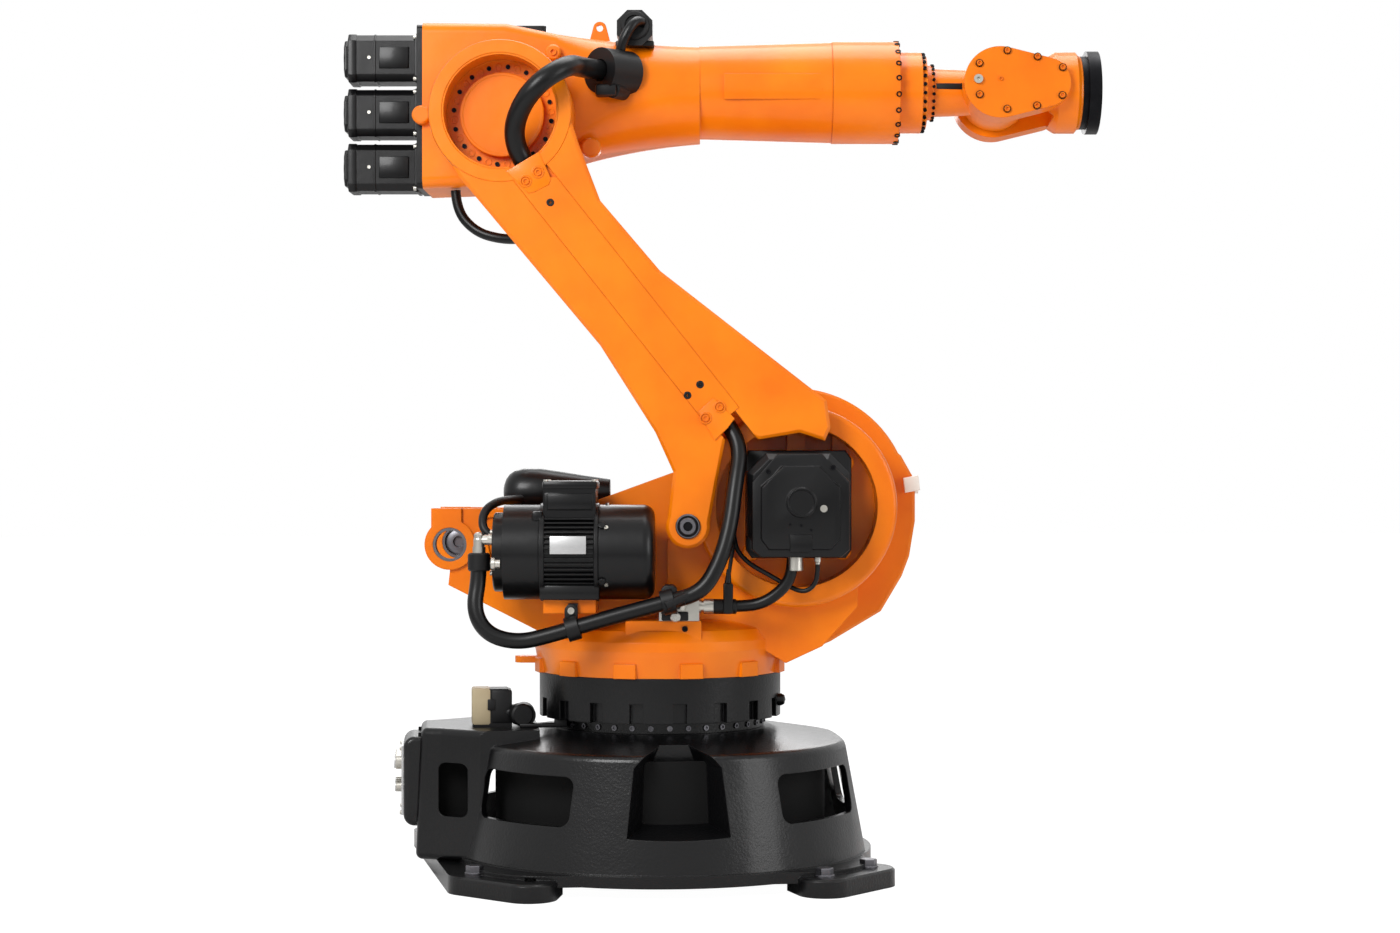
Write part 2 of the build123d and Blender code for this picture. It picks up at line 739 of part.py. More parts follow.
gland_x = elbow_x + 263
gland_y = -134
gland_z = forearm_z + 30
gland_aim = (-0.7, -0.714, 0)


def gland_point(out):
    """A point on the gland's axis, so far out from the forearm."""
    return (gland_x + gland_aim[0] * out, gland_y + gland_aim[1] * out, gland_z)


def make_hose_gland():
    aim = Plane(origin=gland_point(-40), z_dir=gland_aim)
    body = extrude(aim * Circle(54), amount=92) - extrude(aim * Circle(elbow_hose_r + seat_gap), amount=110)
    return seated(body, make_forearm(), y=-seat_gap)


elbow_hose_r = 26
elbow_hose_route = [
    (-262, -253.2, 1608.5), (-308, -253.2, 1666.6), (-339, -284, 1735), (-318, -335, 1800),
    (-268, -364, 1856), (-204, -330, 1898), gland_point(110), gland_point(34),
]
rear_hose_route = [
    (elbow_x - 122, -80, forearm_z - 245), (elbow_x - 120, -80, forearm_z - 293),
    (elbow_x - 73, -90, forearm_z - 346), (elbow_x - 8, -110, forearm_z - 365),
    (elbow_x + 49, -140, forearm_z - 366), (elbow_x + 49, arm_waist_y + seat_gap, forearm_z - 366),
]


# Wrist
def roll(shape):
    """Turns a wrist piece about the forearm's axis into the rest position."""
    return Pos(0, 0, forearm_z) * Rot(wrist_roll, 0, 0) * Pos(0, 0, -forearm_z) * shape


def make_wrist_neck():
    flange = drum_x(neck_flange_r, wrist_ring_end_x + seat_gap, wrist_ring_end_x + 16, 0, forearm_z)
    start = wrist_ring_end_x + 16
    neck = Pos((start + wrist_x) / 2, 0, forearm_z) * Rot(0, 90, 0) * Cone(
        neck_start_r, neck_end_r, wrist_x - start
    )
    head = drum_y(wrist_x, forearm_z, hub_head_r - 6, -cheek_gap + 8, cheek_gap - 8)
    boss_half = cheek_gap - seat_gap
    return flange + neck + head + drum_y(wrist_x, forearm_z, 56, -boss_half, boss_half)


def make_wrist_head():
    near = slab(
        hull_of((wrist_x, forearm_z, cheek_r), (wrist_x + 108, forearm_z, 60)), -cheek_y, -cheek_gap
    )
    far = slab(
        hull_of((wrist_x, forearm_z, cheek_r + 9), (wrist_x + 108, forearm_z, 70)), cheek_gap, cheek_y
    )
    profile = outline(
        (112, 0), (112, 70), (122, 86), (nose_start, nose_r), (190, nose_r), (197, 90), (nose_end, 88),
        (nose_end, 0),
    )
    nose = Pos(wrist_x, 0, forearm_z) * revolve(Plane.XZ * profile, Axis.X)
    return near + far + nose - drum_y(wrist_x, forearm_z, cheek_swing_r, -cheek_gap, cheek_gap)


def make_tool_flange():
    back = flange_x - flange_t
    body = drum_x(flange_r - 12, wrist_x + nose_end + seat_gap, back + 1, 0, forearm_z)
    body += drum_x(flange_r, back, flange_x, 0, forearm_z)
    body -= drum_x(flange_bore_r, flange_x - 8, flange_x + 5, 0, forearm_z)
    hole = Rot(0, 90, 0) * Cylinder(flange_hole_r, 30)
    for i in range(flange_hole_count):
        turn = Rot(360 * i / flange_hole_count, 0, 0)
        body -= Pos(flange_x, 0, forearm_z) * turn * Pos(0, 0, flange_pcd / 2) * hole
    return body


def turned(shape):
    return Rot(0, 0, turntable_angle) * shape


def parts():
    """Every piece by its node name, in its final place."""
    fixed = {
        "base_frame": make_base_frame(),
        "bearing_ring": make_bearing_ring(),
        "connection_box": make_connection_box(),
        "socket_panel": make_socket_panel(),
        "plug_housing": make_plug_housing(),
        "base_gland": make_base_gland(),
    }
    swung = {
        "gear_collar": make_gear_collar(),
        "rotating_column": make_column(),
        "shoulder_gear": make_shoulder_gear(),
        "shoulder_motor": make_shoulder_motor(),
        "stop_bumper": make_bumper(),
        "counterbalance_cylinder": make_counterbalance(),
        "accumulator": make_accumulator(),
        "fan_motor": make_fan_motor(),
        "fan_motor_end": make_fan_motor_end(),
        "fan_motor_cowl": make_fan_motor_cowl(),
        "fan_motor_bracket": make_motor_bracket(),
        "motor_fittings": make_motor_fittings(),
        "connector_block": make_connector_block(),
        "hose_clip_rear": make_clip(**rear_clip),
        "hose_clip_front": make_clip(**front_clip),
        "motor_hose": hose(motor_hose_route, hose_r),
        "shoulder_hose": hose(shoulder_hose_route, hose_r),
        "power_lead": hose(power_lead_route, 15),
        "link_arm": make_link_arm(),
        "arm_cover_strip": make_cover_strip(),
        "elbow_cover": make_elbow_cover(),
        "counterbalance_pin": make_pin(),
        "elbow_hose": hose(elbow_hose_route, elbow_hose_r),
        "rear_hose": hose(rear_hose_route, 13),
        "forearm_casting": make_forearm(),
        "wrist_drum": make_wrist_drum(),
        "wrist_gear": make_wrist_gear(),
        "motor_adapter": make_adapter(),
        "wrist_motor_upper": make_wrist_motor(0),
        "wrist_motor_middle": make_wrist_motor(1),
        "wrist_motor_lower": make_wrist_motor(2),
        "elbow_motor": make_elbow_motor(),
        "elbow_motor_box": make_elbow_motor_box(),
        "lifting_lug": make_lifting_lug(),
        "cable_box": make_cable_box(),
        "hose_gland": make_hose_gland(),
        "wrist_neck": roll(make_wrist_neck()),
        "wrist_head": roll(make_wrist_head()),
        "tool_flange": roll(make_tool_flange()),
    }
    return {**fixed, **{name: turned(shape) for name, shape in swung.items()}}


def main():
    os.makedirs("parts", exist_ok=True)
    for name, shape in parts().items():
        export_step(shape, f"parts/{name}.step")


if __name__ == "__main__":
    main()
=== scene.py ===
# %% [markdown]
# # Dressing a six-axis robot arm
# The solids of the arm come in as a fixed frame: every casting, motor and hose already has its
# real size and its joint. This lesson gives them paint, rubber and steel, and adds what a casting
# drawing leaves out: screws, fins, gaskets, plugs and corrugated hoses.

# %% Load the frame and note its box
from math import cos, pi, radians, sin

import bmesh
import bpy
from mathutils import Matrix, Vector


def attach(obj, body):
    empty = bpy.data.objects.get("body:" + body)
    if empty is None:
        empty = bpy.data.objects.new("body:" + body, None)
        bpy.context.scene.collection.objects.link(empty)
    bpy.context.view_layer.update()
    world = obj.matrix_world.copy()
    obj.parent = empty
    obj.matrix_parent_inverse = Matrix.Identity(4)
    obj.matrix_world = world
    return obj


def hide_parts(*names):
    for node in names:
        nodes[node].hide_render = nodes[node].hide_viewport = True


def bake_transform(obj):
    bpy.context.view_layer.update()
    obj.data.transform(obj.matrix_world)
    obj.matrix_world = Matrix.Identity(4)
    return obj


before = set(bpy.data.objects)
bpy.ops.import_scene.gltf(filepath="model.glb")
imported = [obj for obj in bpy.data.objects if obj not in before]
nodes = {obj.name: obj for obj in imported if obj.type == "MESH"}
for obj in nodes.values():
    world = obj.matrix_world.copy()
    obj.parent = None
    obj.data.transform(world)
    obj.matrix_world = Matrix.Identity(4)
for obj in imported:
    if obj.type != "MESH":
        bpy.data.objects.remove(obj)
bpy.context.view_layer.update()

# %% [markdown]
# ## Three drawing planes
# The base stands square on the floor. All that turns on it is drawn in the arm's own plane, in
# millimetres: x forward, y to the far side, z up. One matrix swings that plane on the turntable,
# and one more rolls the wrist. Working in the arm's plane keeps every number readable.

# %% From millimetres on the drawing to metres in the frame
TURNTABLE = -6
WRIST_ROLL = -5.4
ELBOW = (-367.1, 1796.1)
FOREARM_Z = 1878.1
WRIST_X = 814.9
NEAR, FAR = (0, -1, 0), (0, 1, 0)
UP, DOWN = (0, 0, 1), (0, 0, -1)
FORWARD, BACKWARD = (1, 0, 0), (-1, 0, 0)
MM = 0.001

in_base = Matrix.Scale(MM, 4)
in_arm = Matrix.Rotation(radians(TURNTABLE), 4, "Z") @ Matrix.Scale(MM, 4)
roll_axis = Vector((0, 0, FOREARM_Z))
in_wrist = (
    in_arm @ Matrix.Translation(roll_axis) @ Matrix.Rotation(radians(WRIST_ROLL), 4, "X")
    @ Matrix.Translation(-roll_axis)
)


# %% [markdown]
# ## Finishes
# The arm has few finishes, and each is told apart by how it takes light: enamel over a sand
# casting is glossy but slightly pebbled, drive housings are satin black, hose is dull rubbery
# plastic, and steel is bright where it was turned. A small function adds a node with its links,
# so that each finish below reads as a recipe.

# %% The node helper and the colour helper
def linear(hex_colour):
    """An sRGB hex colour as the linear colour that shaders work in."""
    parts = [int(hex_colour[i:i + 2], 16) / 255 for i in (1, 3, 5)]
    return [p / 12.92 if p <= 0.04045 else ((p + 0.055) / 1.055) ** 2.4 for p in parts] + [1.0]


def add_node(tree, kind, inputs=None, **settings):
    """One node with its settings, each input linked to a socket or set to a value."""
    node = tree.nodes.new(kind)
    for setting, value in settings.items():
        setattr(node, setting, value)
    for socket, source in (inputs or {}).items():
        if isinstance(source, bpy.types.NodeSocket):
            tree.links.new(source, node.inputs[socket])
        else:
            node.inputs[socket].default_value = source
    return node


def noise(tree, place, scale, detail):
    """Noise with so many features to the metre."""
    return add_node(
        tree, "ShaderNodeTexNoise", {"Vector": place, "Scale": scale, "Detail": detail}
    ).outputs["Fac"]


def reckon(tree, operation, *terms):
    """The outcome of one Math node."""
    return add_node(tree, "ShaderNodeMath", dict(enumerate(terms)), operation=operation).outputs[0]


def new_finish(name, **values):
    """A material with a principled shader whose plain values are set on its own sockets."""
    finish = bpy.data.materials.new(name)
    finish.use_nodes = True
    shader = finish.node_tree.nodes["Principled BSDF"]
    for socket, value in values.items():
        shader.inputs[socket.replace("_", " ")].default_value = value
    place = add_node(finish.node_tree, "ShaderNodeTexCoord").outputs["Object"]
    return finish, finish.node_tree, shader, place


# %% [markdown]
# ### Enamel over sand castings
# Sprayed two-pack enamel follows the sand-cast skin below it: pebbles of 3 to 4 mm and soft
# hollows of some 60 mm. The eye reads that as broken highlights. Noise of those two sizes drives
# the bump, and a very slow one shifts the colour a little, as thick and thin paint does. A bevel
# node rounds the edges of each casting, where real paint always pulls back to a soft corner.

# %% Painted castings
def painted_casting(name, thick, thin, roughness, pebble_mm, depth, coat):
    finish, tree, shader, place = new_finish(
        name, Roughness=roughness, Coat_Weight=coat, Coat_Roughness=0.14, Specular_IOR_Level=0.22
    )
    pebbles = noise(tree, place, 1000 / pebble_mm, 3.0)
    hollows = noise(tree, place, 16.0, 2.0)
    shift = noise(tree, place, 5.0, 4.0)
    soft = add_node(tree, "ShaderNodeMapRange", {"Value": shift, "From Min": 0.35, "From Max": 0.65})
    colour = add_node(
        tree, "ShaderNodeMix",
        {"Factor": soft.outputs["Result"], "A": linear(thick), "B": linear(thin)}, data_type="RGBA",
    )
    edge = add_node(tree, "ShaderNodeBevel", {"Radius": 0.004}, samples=4)
    wave = add_node(
        tree, "ShaderNodeBump",
        {"Height": hollows, "Distance": 0.004, "Strength": 0.25, "Normal": edge.outputs["Normal"]},
    )
    skin = add_node(
        tree, "ShaderNodeBump",
        {"Height": pebbles, "Distance": depth, "Strength": 0.5, "Normal": wave.outputs["Normal"]},
    )
    tree.links.new(colour.outputs["Result"], shader.inputs["Base Color"])
    tree.links.new(skin.outputs["Normal"], shader.inputs["Normal"])
    return finish


orange_enamel = painted_casting("orange_enamel_on_castings", "#E56E00", "#EF7E04", 0.34, 5, 0.0003, 0.2)
black_enamel = painted_casting("black_textured_enamel_on_iron", "#040405", "#080809", 0.3, 6, 0.0014, 0.15)
motor_paint = painted_casting(
    "black_satin_paint_on_motor_housings", "#030304", "#060607", 0.34, 3, 0.0002, 0.1
)
print("painted finishes:", orange_enamel.name, black_enamel.name, motor_paint.name)


# %% [markdown]
# ### Plastics, rubber and bare metal
# Moulded covers (ABS, PA) are fine-grained and dull. The hoses are ribbed polyamide conduit. The
# screws are blackened or zinc-plated steel, and the flange is steel with a black oxide skin,
# whose lathe marks show as rings of about 1 mm.

# %% A grained finish, and the moulded plastics
def grained(name, colour, worn, grain_mm, depth, strength, stain, **values):
    """A finish with fine grain in its skin and a slow stain, as (scale, detail), in its colour."""
    finish, tree, shader, place = new_finish(name, **values)
    grain = noise(tree, place, 1000 / grain_mm, 2.0)
    share = noise(tree, place, *stain)
    mix = add_node(
        tree, "ShaderNodeMix", {"Factor": share, "A": linear(colour), "B": linear(worn)}, data_type="RGBA"
    )
    skin = add_node(tree, "ShaderNodeBump", {"Height": grain, "Distance": depth, "Strength": strength})
    tree.links.new(mix.outputs["Result"], shader.inputs["Base Color"])
    tree.links.new(skin.outputs["Normal"], shader.inputs["Normal"])
    return finish, tree, shader, share


def moulded(name, colour, worn, roughness):
    return grained(
        name, colour, worn, 1.5, 0.0002, 0.4, (22.0, 5.0), Roughness=roughness, Specular_IOR_Level=0.25
    )[0]


black_plastic = moulded("moulded_black_polyamide", "#050506", "#0B0B0C", 0.45)
white_plastic = moulded("moulded_white_polyurethane", "#E9E4DA", "#F2EEE6", 0.5)
beige_plastic = moulded("moulded_beige_connector_cover", "#A39476", "#B2A487", 0.5)
hose_plastic = moulded("ribbed_polyamide_hose", "#040405", "#090909", 0.34)
# Near black and rough: painted shade for the insides of the base, where the lamps leave it dark.
painted_shade_inside = moulded("painted_shade_inside_of_the_base", "#020202", "#040404", 0.9)


# %% Bare and plated metals
def bare_metal(name, colour, worn, roughness, mark_mm):
    finish, tree, shader, stain = grained(
        name, colour, worn, mark_mm, 0.0001, 0.3, (30.0, 4.0), Metallic=1.0, Roughness=roughness
    )
    shine = add_node(
        tree, "ShaderNodeMapRange", {"Value": stain, "To Min": roughness - 0.08, "To Max": roughness + 0.12}
    )
    tree.links.new(shine.outputs["Result"], shader.inputs["Roughness"])
    return finish


turned_steel = bare_metal("turned_steel", "#B9B7B2", "#8F8D88", 0.32, 1.0)
zinc_plate = bare_metal("zinc_plated_fittings", "#C9C6BE", "#A5A29A", 0.28, 1.5)
black_oxide = bare_metal("black_oxide_on_machined_steel", "#242426", "#101012", 0.4, 1.0)
brass = bare_metal("brass_plug", "#B98B3C", "#8F6A2C", 0.35, 1.0)
worn_bolt = bare_metal("blackened_bolt_steel", "#77767A", "#56555A", 0.36, 1.2)
blank_plate = bare_metal("blank_anodised_plate", "#C4C4C4", "#AFAFAF", 0.4, 0.8)
print("finishes made:", len(bpy.data.materials))

# %% [markdown]
# ## Paint the solids
# Each solid keeps its own mesh and only receives a finish. The table says it in one place.

# %% Which solids have which finish
solids_with = (
    (black_enamel, "base_frame bearing_ring connection_box gear_collar"),
    (orange_enamel, "rotating_column fan_motor_bracket link_arm arm_cover_strip elbow_cover"
                    " forearm_casting lifting_lug wrist_drum wrist_gear wrist_neck wrist_head"),
    (motor_paint, "shoulder_motor counterbalance_cylinder accumulator fan_motor fan_motor_end"
                  " fan_motor_cowl motor_adapter wrist_motor_upper wrist_motor_middle"
                  " wrist_motor_lower elbow_motor elbow_motor_box"),
    (black_plastic, "plug_housing base_gland hose_clip_rear hose_clip_front cable_box hose_gland"),
    (hose_plastic, "motor_hose shoulder_hose power_lead elbow_hose rear_hose"),
    (black_oxide, "counterbalance_pin tool_flange"),
    (zinc_plate, "motor_fittings connector_block"),
    (blank_plate, "socket_panel"),
    (turned_steel, "shoulder_gear"),
    (white_plastic, "stop_bumper"),
)
finish_of = {name: finish for finish, names in solids_with for name in names.split()}
for node_name, node in nodes.items():
    node.data.materials.clear()
    node.data.materials.append(finish_of[node_name])
print("solids painted:", len(nodes))

# %% [markdown]
# ## Drawing helpers
# Turned parts, plates and boxes make up nearly every small piece of a machine. Each helper below
# adds one closed shape, in millimetres, to a bmesh. `piece` then merges doubles, turns the faces
# outwards, carries the drawing into the frame and hangs the result on its body.

# %% Shapes in a bmesh
def turned_shape(bm, at, aim, profile, steps=40, capped=True):
    """A shape from the lathe: its profile is (distance along aim, radius), end to end."""
    to_aim = Vector(aim).normalized().to_track_quat("Z", "Y").to_matrix().to_4x4()
    place = Matrix.Translation(at) @ to_aim
    rings = []
    for along, radius in profile:
        if radius == 0:
            rings.append([bm.verts.new(place @ Vector((0, 0, along)))])
            continue
        turns = [2 * pi * i / steps for i in range(steps)]
        rings.append([bm.verts.new(place @ Vector((radius * cos(t), radius * sin(t), along))) for t in turns])
    for low, high in zip(rings, rings[1:]):
        for i in range(steps):
            j = (i + 1) % steps
            corners = [low[i % len(low)], low[j % len(low)], high[j % len(high)], high[i % len(high)]]
            bm.faces.new(list(dict.fromkeys(corners)))
    for ring in (rings[0], rings[-1]):
        if capped and len(ring) > 1:
            bm.faces.new(ring)


def knob(height, radius, edge=1.5, start=-1.0):
    """The profile of a plain round boss with a broken edge."""
    return [(start, radius), (height - edge, radius), (height, radius - edge)]


def plate_shape(bm, corners, y0, y1, edge=0.0):
    """A flat shape, its corners given in x and z, between two y faces."""
    near = [bm.verts.new((x, y0, z)) for x, z in corners]
    far = [bm.verts.new((x, y1, z)) for x, z in corners]
    faces = [bm.faces.new(near), bm.faces.new(far)]
    count = len(corners)
    for i in range(count):
        j = (i + 1) % count
        faces.append(bm.faces.new((near[i], near[j], far[j], far[i])))
    if edge:
        rim = {e for e in faces[0].edges} | {e for e in faces[1].edges}
        bmesh.ops.bevel(bm, geom=list(rim), offset=edge, segments=2, profile=0.5, affect="EDGES")


def box_shape(bm, low, high, edge=2.0):
    """A box from corner to corner with its edges broken."""
    size = [h - l for l, h in zip(low, high)]
    middle = [(l + h) / 2 for l, h in zip(low, high)]
    place = Matrix.Translation(middle) @ Matrix.Diagonal((*size, 1))
    made = bmesh.ops.create_cube(bm, size=1.0, matrix=place)
    rim = {e for v in made["verts"] for e in v.link_edges}
    bmesh.ops.bevel(bm, geom=list(rim), offset=edge, segments=2, profile=0.5, affect="EDGES")


def arc(x, z, radius, first, last, steps):
    """Points on an arc in the arm's plane, its angles in degrees."""
    turns = [radians(first + (last - first) * i / steps) for i in range(steps + 1)]
    return [(x + radius * cos(t), z + radius * sin(t)) for t in turns]


# %% From a bmesh to a finished piece
def new_object(name, data):
    obj = bpy.data.objects.new(name, data)
    bpy.context.collection.objects.link(obj)
    return obj


def finish_piece(name, mesh, finish, body, sharp=32):
    obj = new_object(name, mesh)
    if finish:
        mesh.materials.clear()
        mesh.materials.append(finish)
    mesh.shade_smooth()
    mesh.set_sharp_from_angle(angle=radians(sharp))
    if body:
        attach(obj, body)
    return obj


def piece(name, draw, finish, body, plane=in_arm):
    """A piece drawn by draw(bm) in millimetres, set in its plane and hung on its body."""
    bm = bmesh.new()
    draw(bm)
    bmesh.ops.remove_doubles(bm, verts=bm.verts, dist=0.01)
    bmesh.ops.recalc_face_normals(bm, faces=bm.faces)
    bm.transform(plane)
    mesh = bpy.data.meshes.new(name)
    bm.to_mesh(mesh)
    bm.free()
    obj = finish_piece(name, mesh, finish, body)
    print(name, "faces:", len(mesh.polygons))
    return obj


# %% [markdown]
# ## Screws by the dozen
# A robot is held together by rings of socket-head screws. They are all one shape in several
# sizes, so one Geometry Nodes tree makes them: every point of a mesh becomes a head, turned to
# the point's own aim and scaled to its own radius. The head is a 12-sided cylinder whose top is
# inset and pushed down, which gives the key socket with a few dozen faces.

# %% What every tree opens and ends with
def open_tree(name, *inputs):
    """A tree whose inputs are a mesh, the given ones as (name, kind), and a finish."""
    tree = bpy.data.node_groups.new(name, "GeometryNodeTree")
    for label, kind in (("Geometry", "Geometry"), *inputs, ("Finish", "Material")):
        tree.interface.new_socket(label, in_out="INPUT", socket_type="NodeSocket" + kind)
    tree.interface.new_socket("Geometry", in_out="OUTPUT", socket_type="NodeSocketGeometry")
    return tree, add_node(tree, "NodeGroupInput").outputs


def end_tree(tree, given, geometry):
    real = add_node(tree, "GeometryNodeRealizeInstances", {"Geometry": geometry})
    dressed = add_node(
        tree, "GeometryNodeSetMaterial", {"Geometry": real.outputs["Geometry"], "Material": given["Finish"]}
    )
    add_node(tree, "NodeGroupOutput", {"Geometry": dressed.outputs["Geometry"]})
    return tree


# %% The tree that sets a screw head on every point
def screw_tree():
    tree, given = open_tree("screw_heads", ("Head height", "Float"), ("Key socket", "Float"))
    head = add_node(
        tree, "GeometryNodeMeshCylinder",
        {"Vertices": 12, "Radius": 1.0, "Depth": given["Head height"]}, fill_type="NGON",
    )
    facet = add_node(tree, "GeometryNodeInputNormal")
    normal = add_node(tree, "ShaderNodeSeparateXYZ", {"Vector": facet.outputs["Normal"]})
    is_top = add_node(
        tree, "FunctionNodeCompare", {"A": normal.outputs["Z"], "B": 0.9}, data_type="FLOAT",
        operation="GREATER_THAN",
    )
    inset = add_node(
        tree, "GeometryNodeExtrudeMesh",
        {"Mesh": head.outputs["Mesh"], "Selection": is_top.outputs["Result"], "Offset Scale": 0.0},
        mode="FACES",
    )
    narrowed = add_node(
        tree, "GeometryNodeScaleElements",
        {"Geometry": inset.outputs["Mesh"], "Selection": inset.outputs["Top"],
         "Scale": given["Key socket"]},
        domain="FACE",
    )
    sunk = add_node(
        tree, "GeometryNodeExtrudeMesh",
        {"Mesh": narrowed.outputs["Geometry"], "Selection": inset.outputs["Top"], "Offset Scale": -0.55},
        mode="FACES",
    )
    aim = add_node(tree, "GeometryNodeInputNamedAttribute", {"Name": "aim"}, data_type="FLOAT_VECTOR")
    radius = add_node(tree, "GeometryNodeInputNamedAttribute", {"Name": "head"}, data_type="FLOAT")
    turn = add_node(tree, "FunctionNodeAlignRotationToVector", {"Vector": aim.outputs["Attribute"]}, axis="Z")
    heads = add_node(
        tree, "GeometryNodeInstanceOnPoints",
        {"Points": given["Geometry"], "Instance": sunk.outputs["Mesh"],
         "Rotation": turn.outputs["Rotation"], "Scale": radius.outputs["Attribute"]},
    )
    return end_tree(tree, given, heads.outputs["Instances"])


screws_of = screw_tree()


# %% Bake a tree on a mesh into one plain mesh
def grown(name, mesh, tree, values):
    """The mesh that a Geometry Nodes tree makes out of the given mesh."""
    holder = new_object(name + "_source", mesh)
    growth = holder.modifiers.new("growth", "NODES")
    growth.node_group = tree
    keys = {s.name: s.identifier for s in tree.interface.items_tree if s.in_out == "INPUT"}
    for socket, value in values.items():
        growth[keys[socket]] = value
    ready = bpy.context.evaluated_depsgraph_get()
    result = bpy.data.meshes.new_from_object(holder.evaluated_get(ready))
    holder.modifiers.remove(growth)
    bpy.data.objects.remove(holder)
    result.name = name
    return result


def screws(name, places, finish, body, plane=in_arm, key=0.58):
    """Screw heads at (point, aim, head radius in mm), all on one body."""
    mesh = bpy.data.meshes.new(name)
    mesh.from_pydata([plane @ Vector(point) for point, aim, radius in places], [], [])
    mesh.attributes.new("aim", "FLOAT_VECTOR", "POINT")
    mesh.attributes.new("head", "FLOAT", "POINT")
    aims, radii = mesh.attributes["aim"], mesh.attributes["head"]
    turn = plane.to_3x3().normalized()
    for i, (point, aim, radius) in enumerate(places):
        aims.data[i].vector = turn @ Vector(aim)
        radii.data[i].value = radius * MM
    made = grown(name, mesh, screws_of, {"Head height": 1.15, "Key socket": key, "Finish": finish})
    obj = finish_piece(name, made, None, body)
    print(name, "heads:", len(places), "faces:", len(made.polygons))
    return obj


def ring_of_screws(centre, radius, y, count, head, start=0.0):
    """Places on a bolt circle that faces the near side."""
    x, z = centre
    turns = [radians(start + 360 * i / count) for i in range(count)]
    return [((x + radius * cos(t), y, z + radius * sin(t)), NEAR, head) for t in turns]


def facing(points, y, head):
    """Places at points in x and z, on a plane y that faces the near side."""
    return [((x, y, z), NEAR, head) for x, z in points]


# %% [markdown]
# ## Corrugated hoses
# The hoses are ribbed conduit, clipped at both ends. A spline through the bend points of each
# route gives one smooth line; the tree below lays a tube along it whose radius rises and falls
# with the distance along the line, so the ribs stay evenly spaced through the bends. The real
# ribs are about 4 mm apart, too fine to see from here, so they are drawn some 10 mm apart.

# %% The tree that ribs a hose
def hose_tree():
    tree, given = open_tree(
        "ribbed_hose", ("Hose radius", "Float"), ("Rib spacing", "Float"), ("Rib depth", "Float")
    )
    line = add_node(tree, "GeometryNodeMeshToCurve", {"Mesh": given["Geometry"]})
    step = reckon(tree, "MULTIPLY", given["Rib spacing"], 0.25)
    even = add_node(
        tree, "GeometryNodeResampleCurve", {"Curve": line.outputs["Curve"], "Length": step}, mode="LENGTH"
    )
    along = add_node(tree, "GeometryNodeSplineParameter").outputs["Length"]
    ribs = reckon(tree, "DIVIDE", along, given["Rib spacing"])
    wave = reckon(tree, "COSINE", reckon(tree, "MULTIPLY", ribs, 2 * pi))
    rise = reckon(tree, "MULTIPLY_ADD", wave, given["Rib depth"], 1.0)
    swell = add_node(
        tree, "GeometryNodeSetCurveRadius", {"Curve": even.outputs["Curve"], "Radius": rise}
    )
    ring = add_node(
        tree, "GeometryNodeCurvePrimitiveCircle", {"Resolution": 24, "Radius": given["Hose radius"]}
    )
    tube = add_node(
        tree, "GeometryNodeCurveToMesh",
        {"Curve": swell.outputs["Curve"], "Profile Curve": ring.outputs["Curve"], "Fill Caps": True},
    )
    return end_tree(tree, given, tube.outputs["Mesh"])


hose_of = hose_tree()


# %% The line of a hose, and the hose
RIB_DEPTH = 0.085  # as a share of the radius
MEAN_RADIUS = 0.92  # as a share of the solid's radius, which the crests of the ribs then reach


def hose_line(name, route):
    """Evenly smooth points, as a mesh line, read off the spline through the route's bends."""
    curve = bpy.data.curves.new(name + "_line", "CURVE")
    curve.dimensions = "3D"
    spline = curve.splines.new("NURBS")
    spline.points.add(len(route) - 1)
    for point, corner in zip(spline.points, route):
        point.co = (*(in_arm @ Vector(corner)), 1.0)
    spline.order_u = 3
    spline.use_endpoint_u = True
    spline.resolution_u = 24
    holder = new_object(name + "_line", curve)
    ready = bpy.context.evaluated_depsgraph_get()
    line = bpy.data.meshes.new_from_object(holder.evaluated_get(ready))
    bpy.data.objects.remove(holder)
    return line


def laid_hose(name, line, radius, rib, depth, finish, body):
    """A tube along a line; its ribs stand rib apart and are as deep as a share of its radius."""
    values = {
        "Hose radius": radius * MM, "Rib spacing": rib * MM, "Rib depth": depth, "Finish": finish,
    }
    tube = grown(name, line, hose_of, values)
    return finish_piece(name, tube, None, body, sharp=60)


def ribbed_hose(name, node, route, radius, body, rib=10.0):
    line = hose_line(name, route)
    ends = [[line.vertices[i].co for i in edge.vertices] for edge in line.edges]
    length = sum((a - b).length for a, b in ends)
    obj = laid_hose(name, line, radius * MEAN_RADIUS, rib, RIB_DEPTH, hose_plastic, body)
    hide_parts(node)
    print(name, "length mm:", round(length * 1000), "faces:", len(obj.data.polygons))
    return obj


def in_row(point):
    return tuple(in_arm @ Vector(point))


motor_route = [
    (-412, -328, 771.7), (-412, -328, 715), (-424, -345, 640), (-392, -352, 585), (-320, -352, 566),
    (-240, -352, 586), (-150, -352, 613), (-60, -352, 638), (59.7, -352, 670),
]
shoulder_route = [
    (60, -352, 670.1), (100, -352, 680.8), (140, -348, 745), (166, -335, 830), (178, -315, 925),
    (192, -280, 1010), (165, -254.5, 1069.4), (130, -254.5, 1113.6),
]
lead_route = [
    (124, -262, 645), (180, -262, 645), (240, -266, 650), (290, -276, 685), (312, -282, 725),
    (312, -282, 764.7),
]
elbow_route = [
    (-262, -253.2, 1608.5), (-308, -253.2, 1666.6), (-339, -284, 1735), (-318, -335, 1800),
    (-268, -364, 1856), (-204, -330, 1898), (-181.1, -212.5, 1908.1), (-127.9, -158.3, 1908.1),
]
rear_route = [
    (-489.1, -80, 1633.1), (-487.1, -80, 1585.1), (-440.1, -90, 1532.1), (-375.1, -110, 1513.1),
    (-318.1, -140, 1512.1), (-318.1, -212.7, 1512.1),
]
ribbed_hose("motor_hose_ribbed", "motor_hose", motor_route, 20, "column")
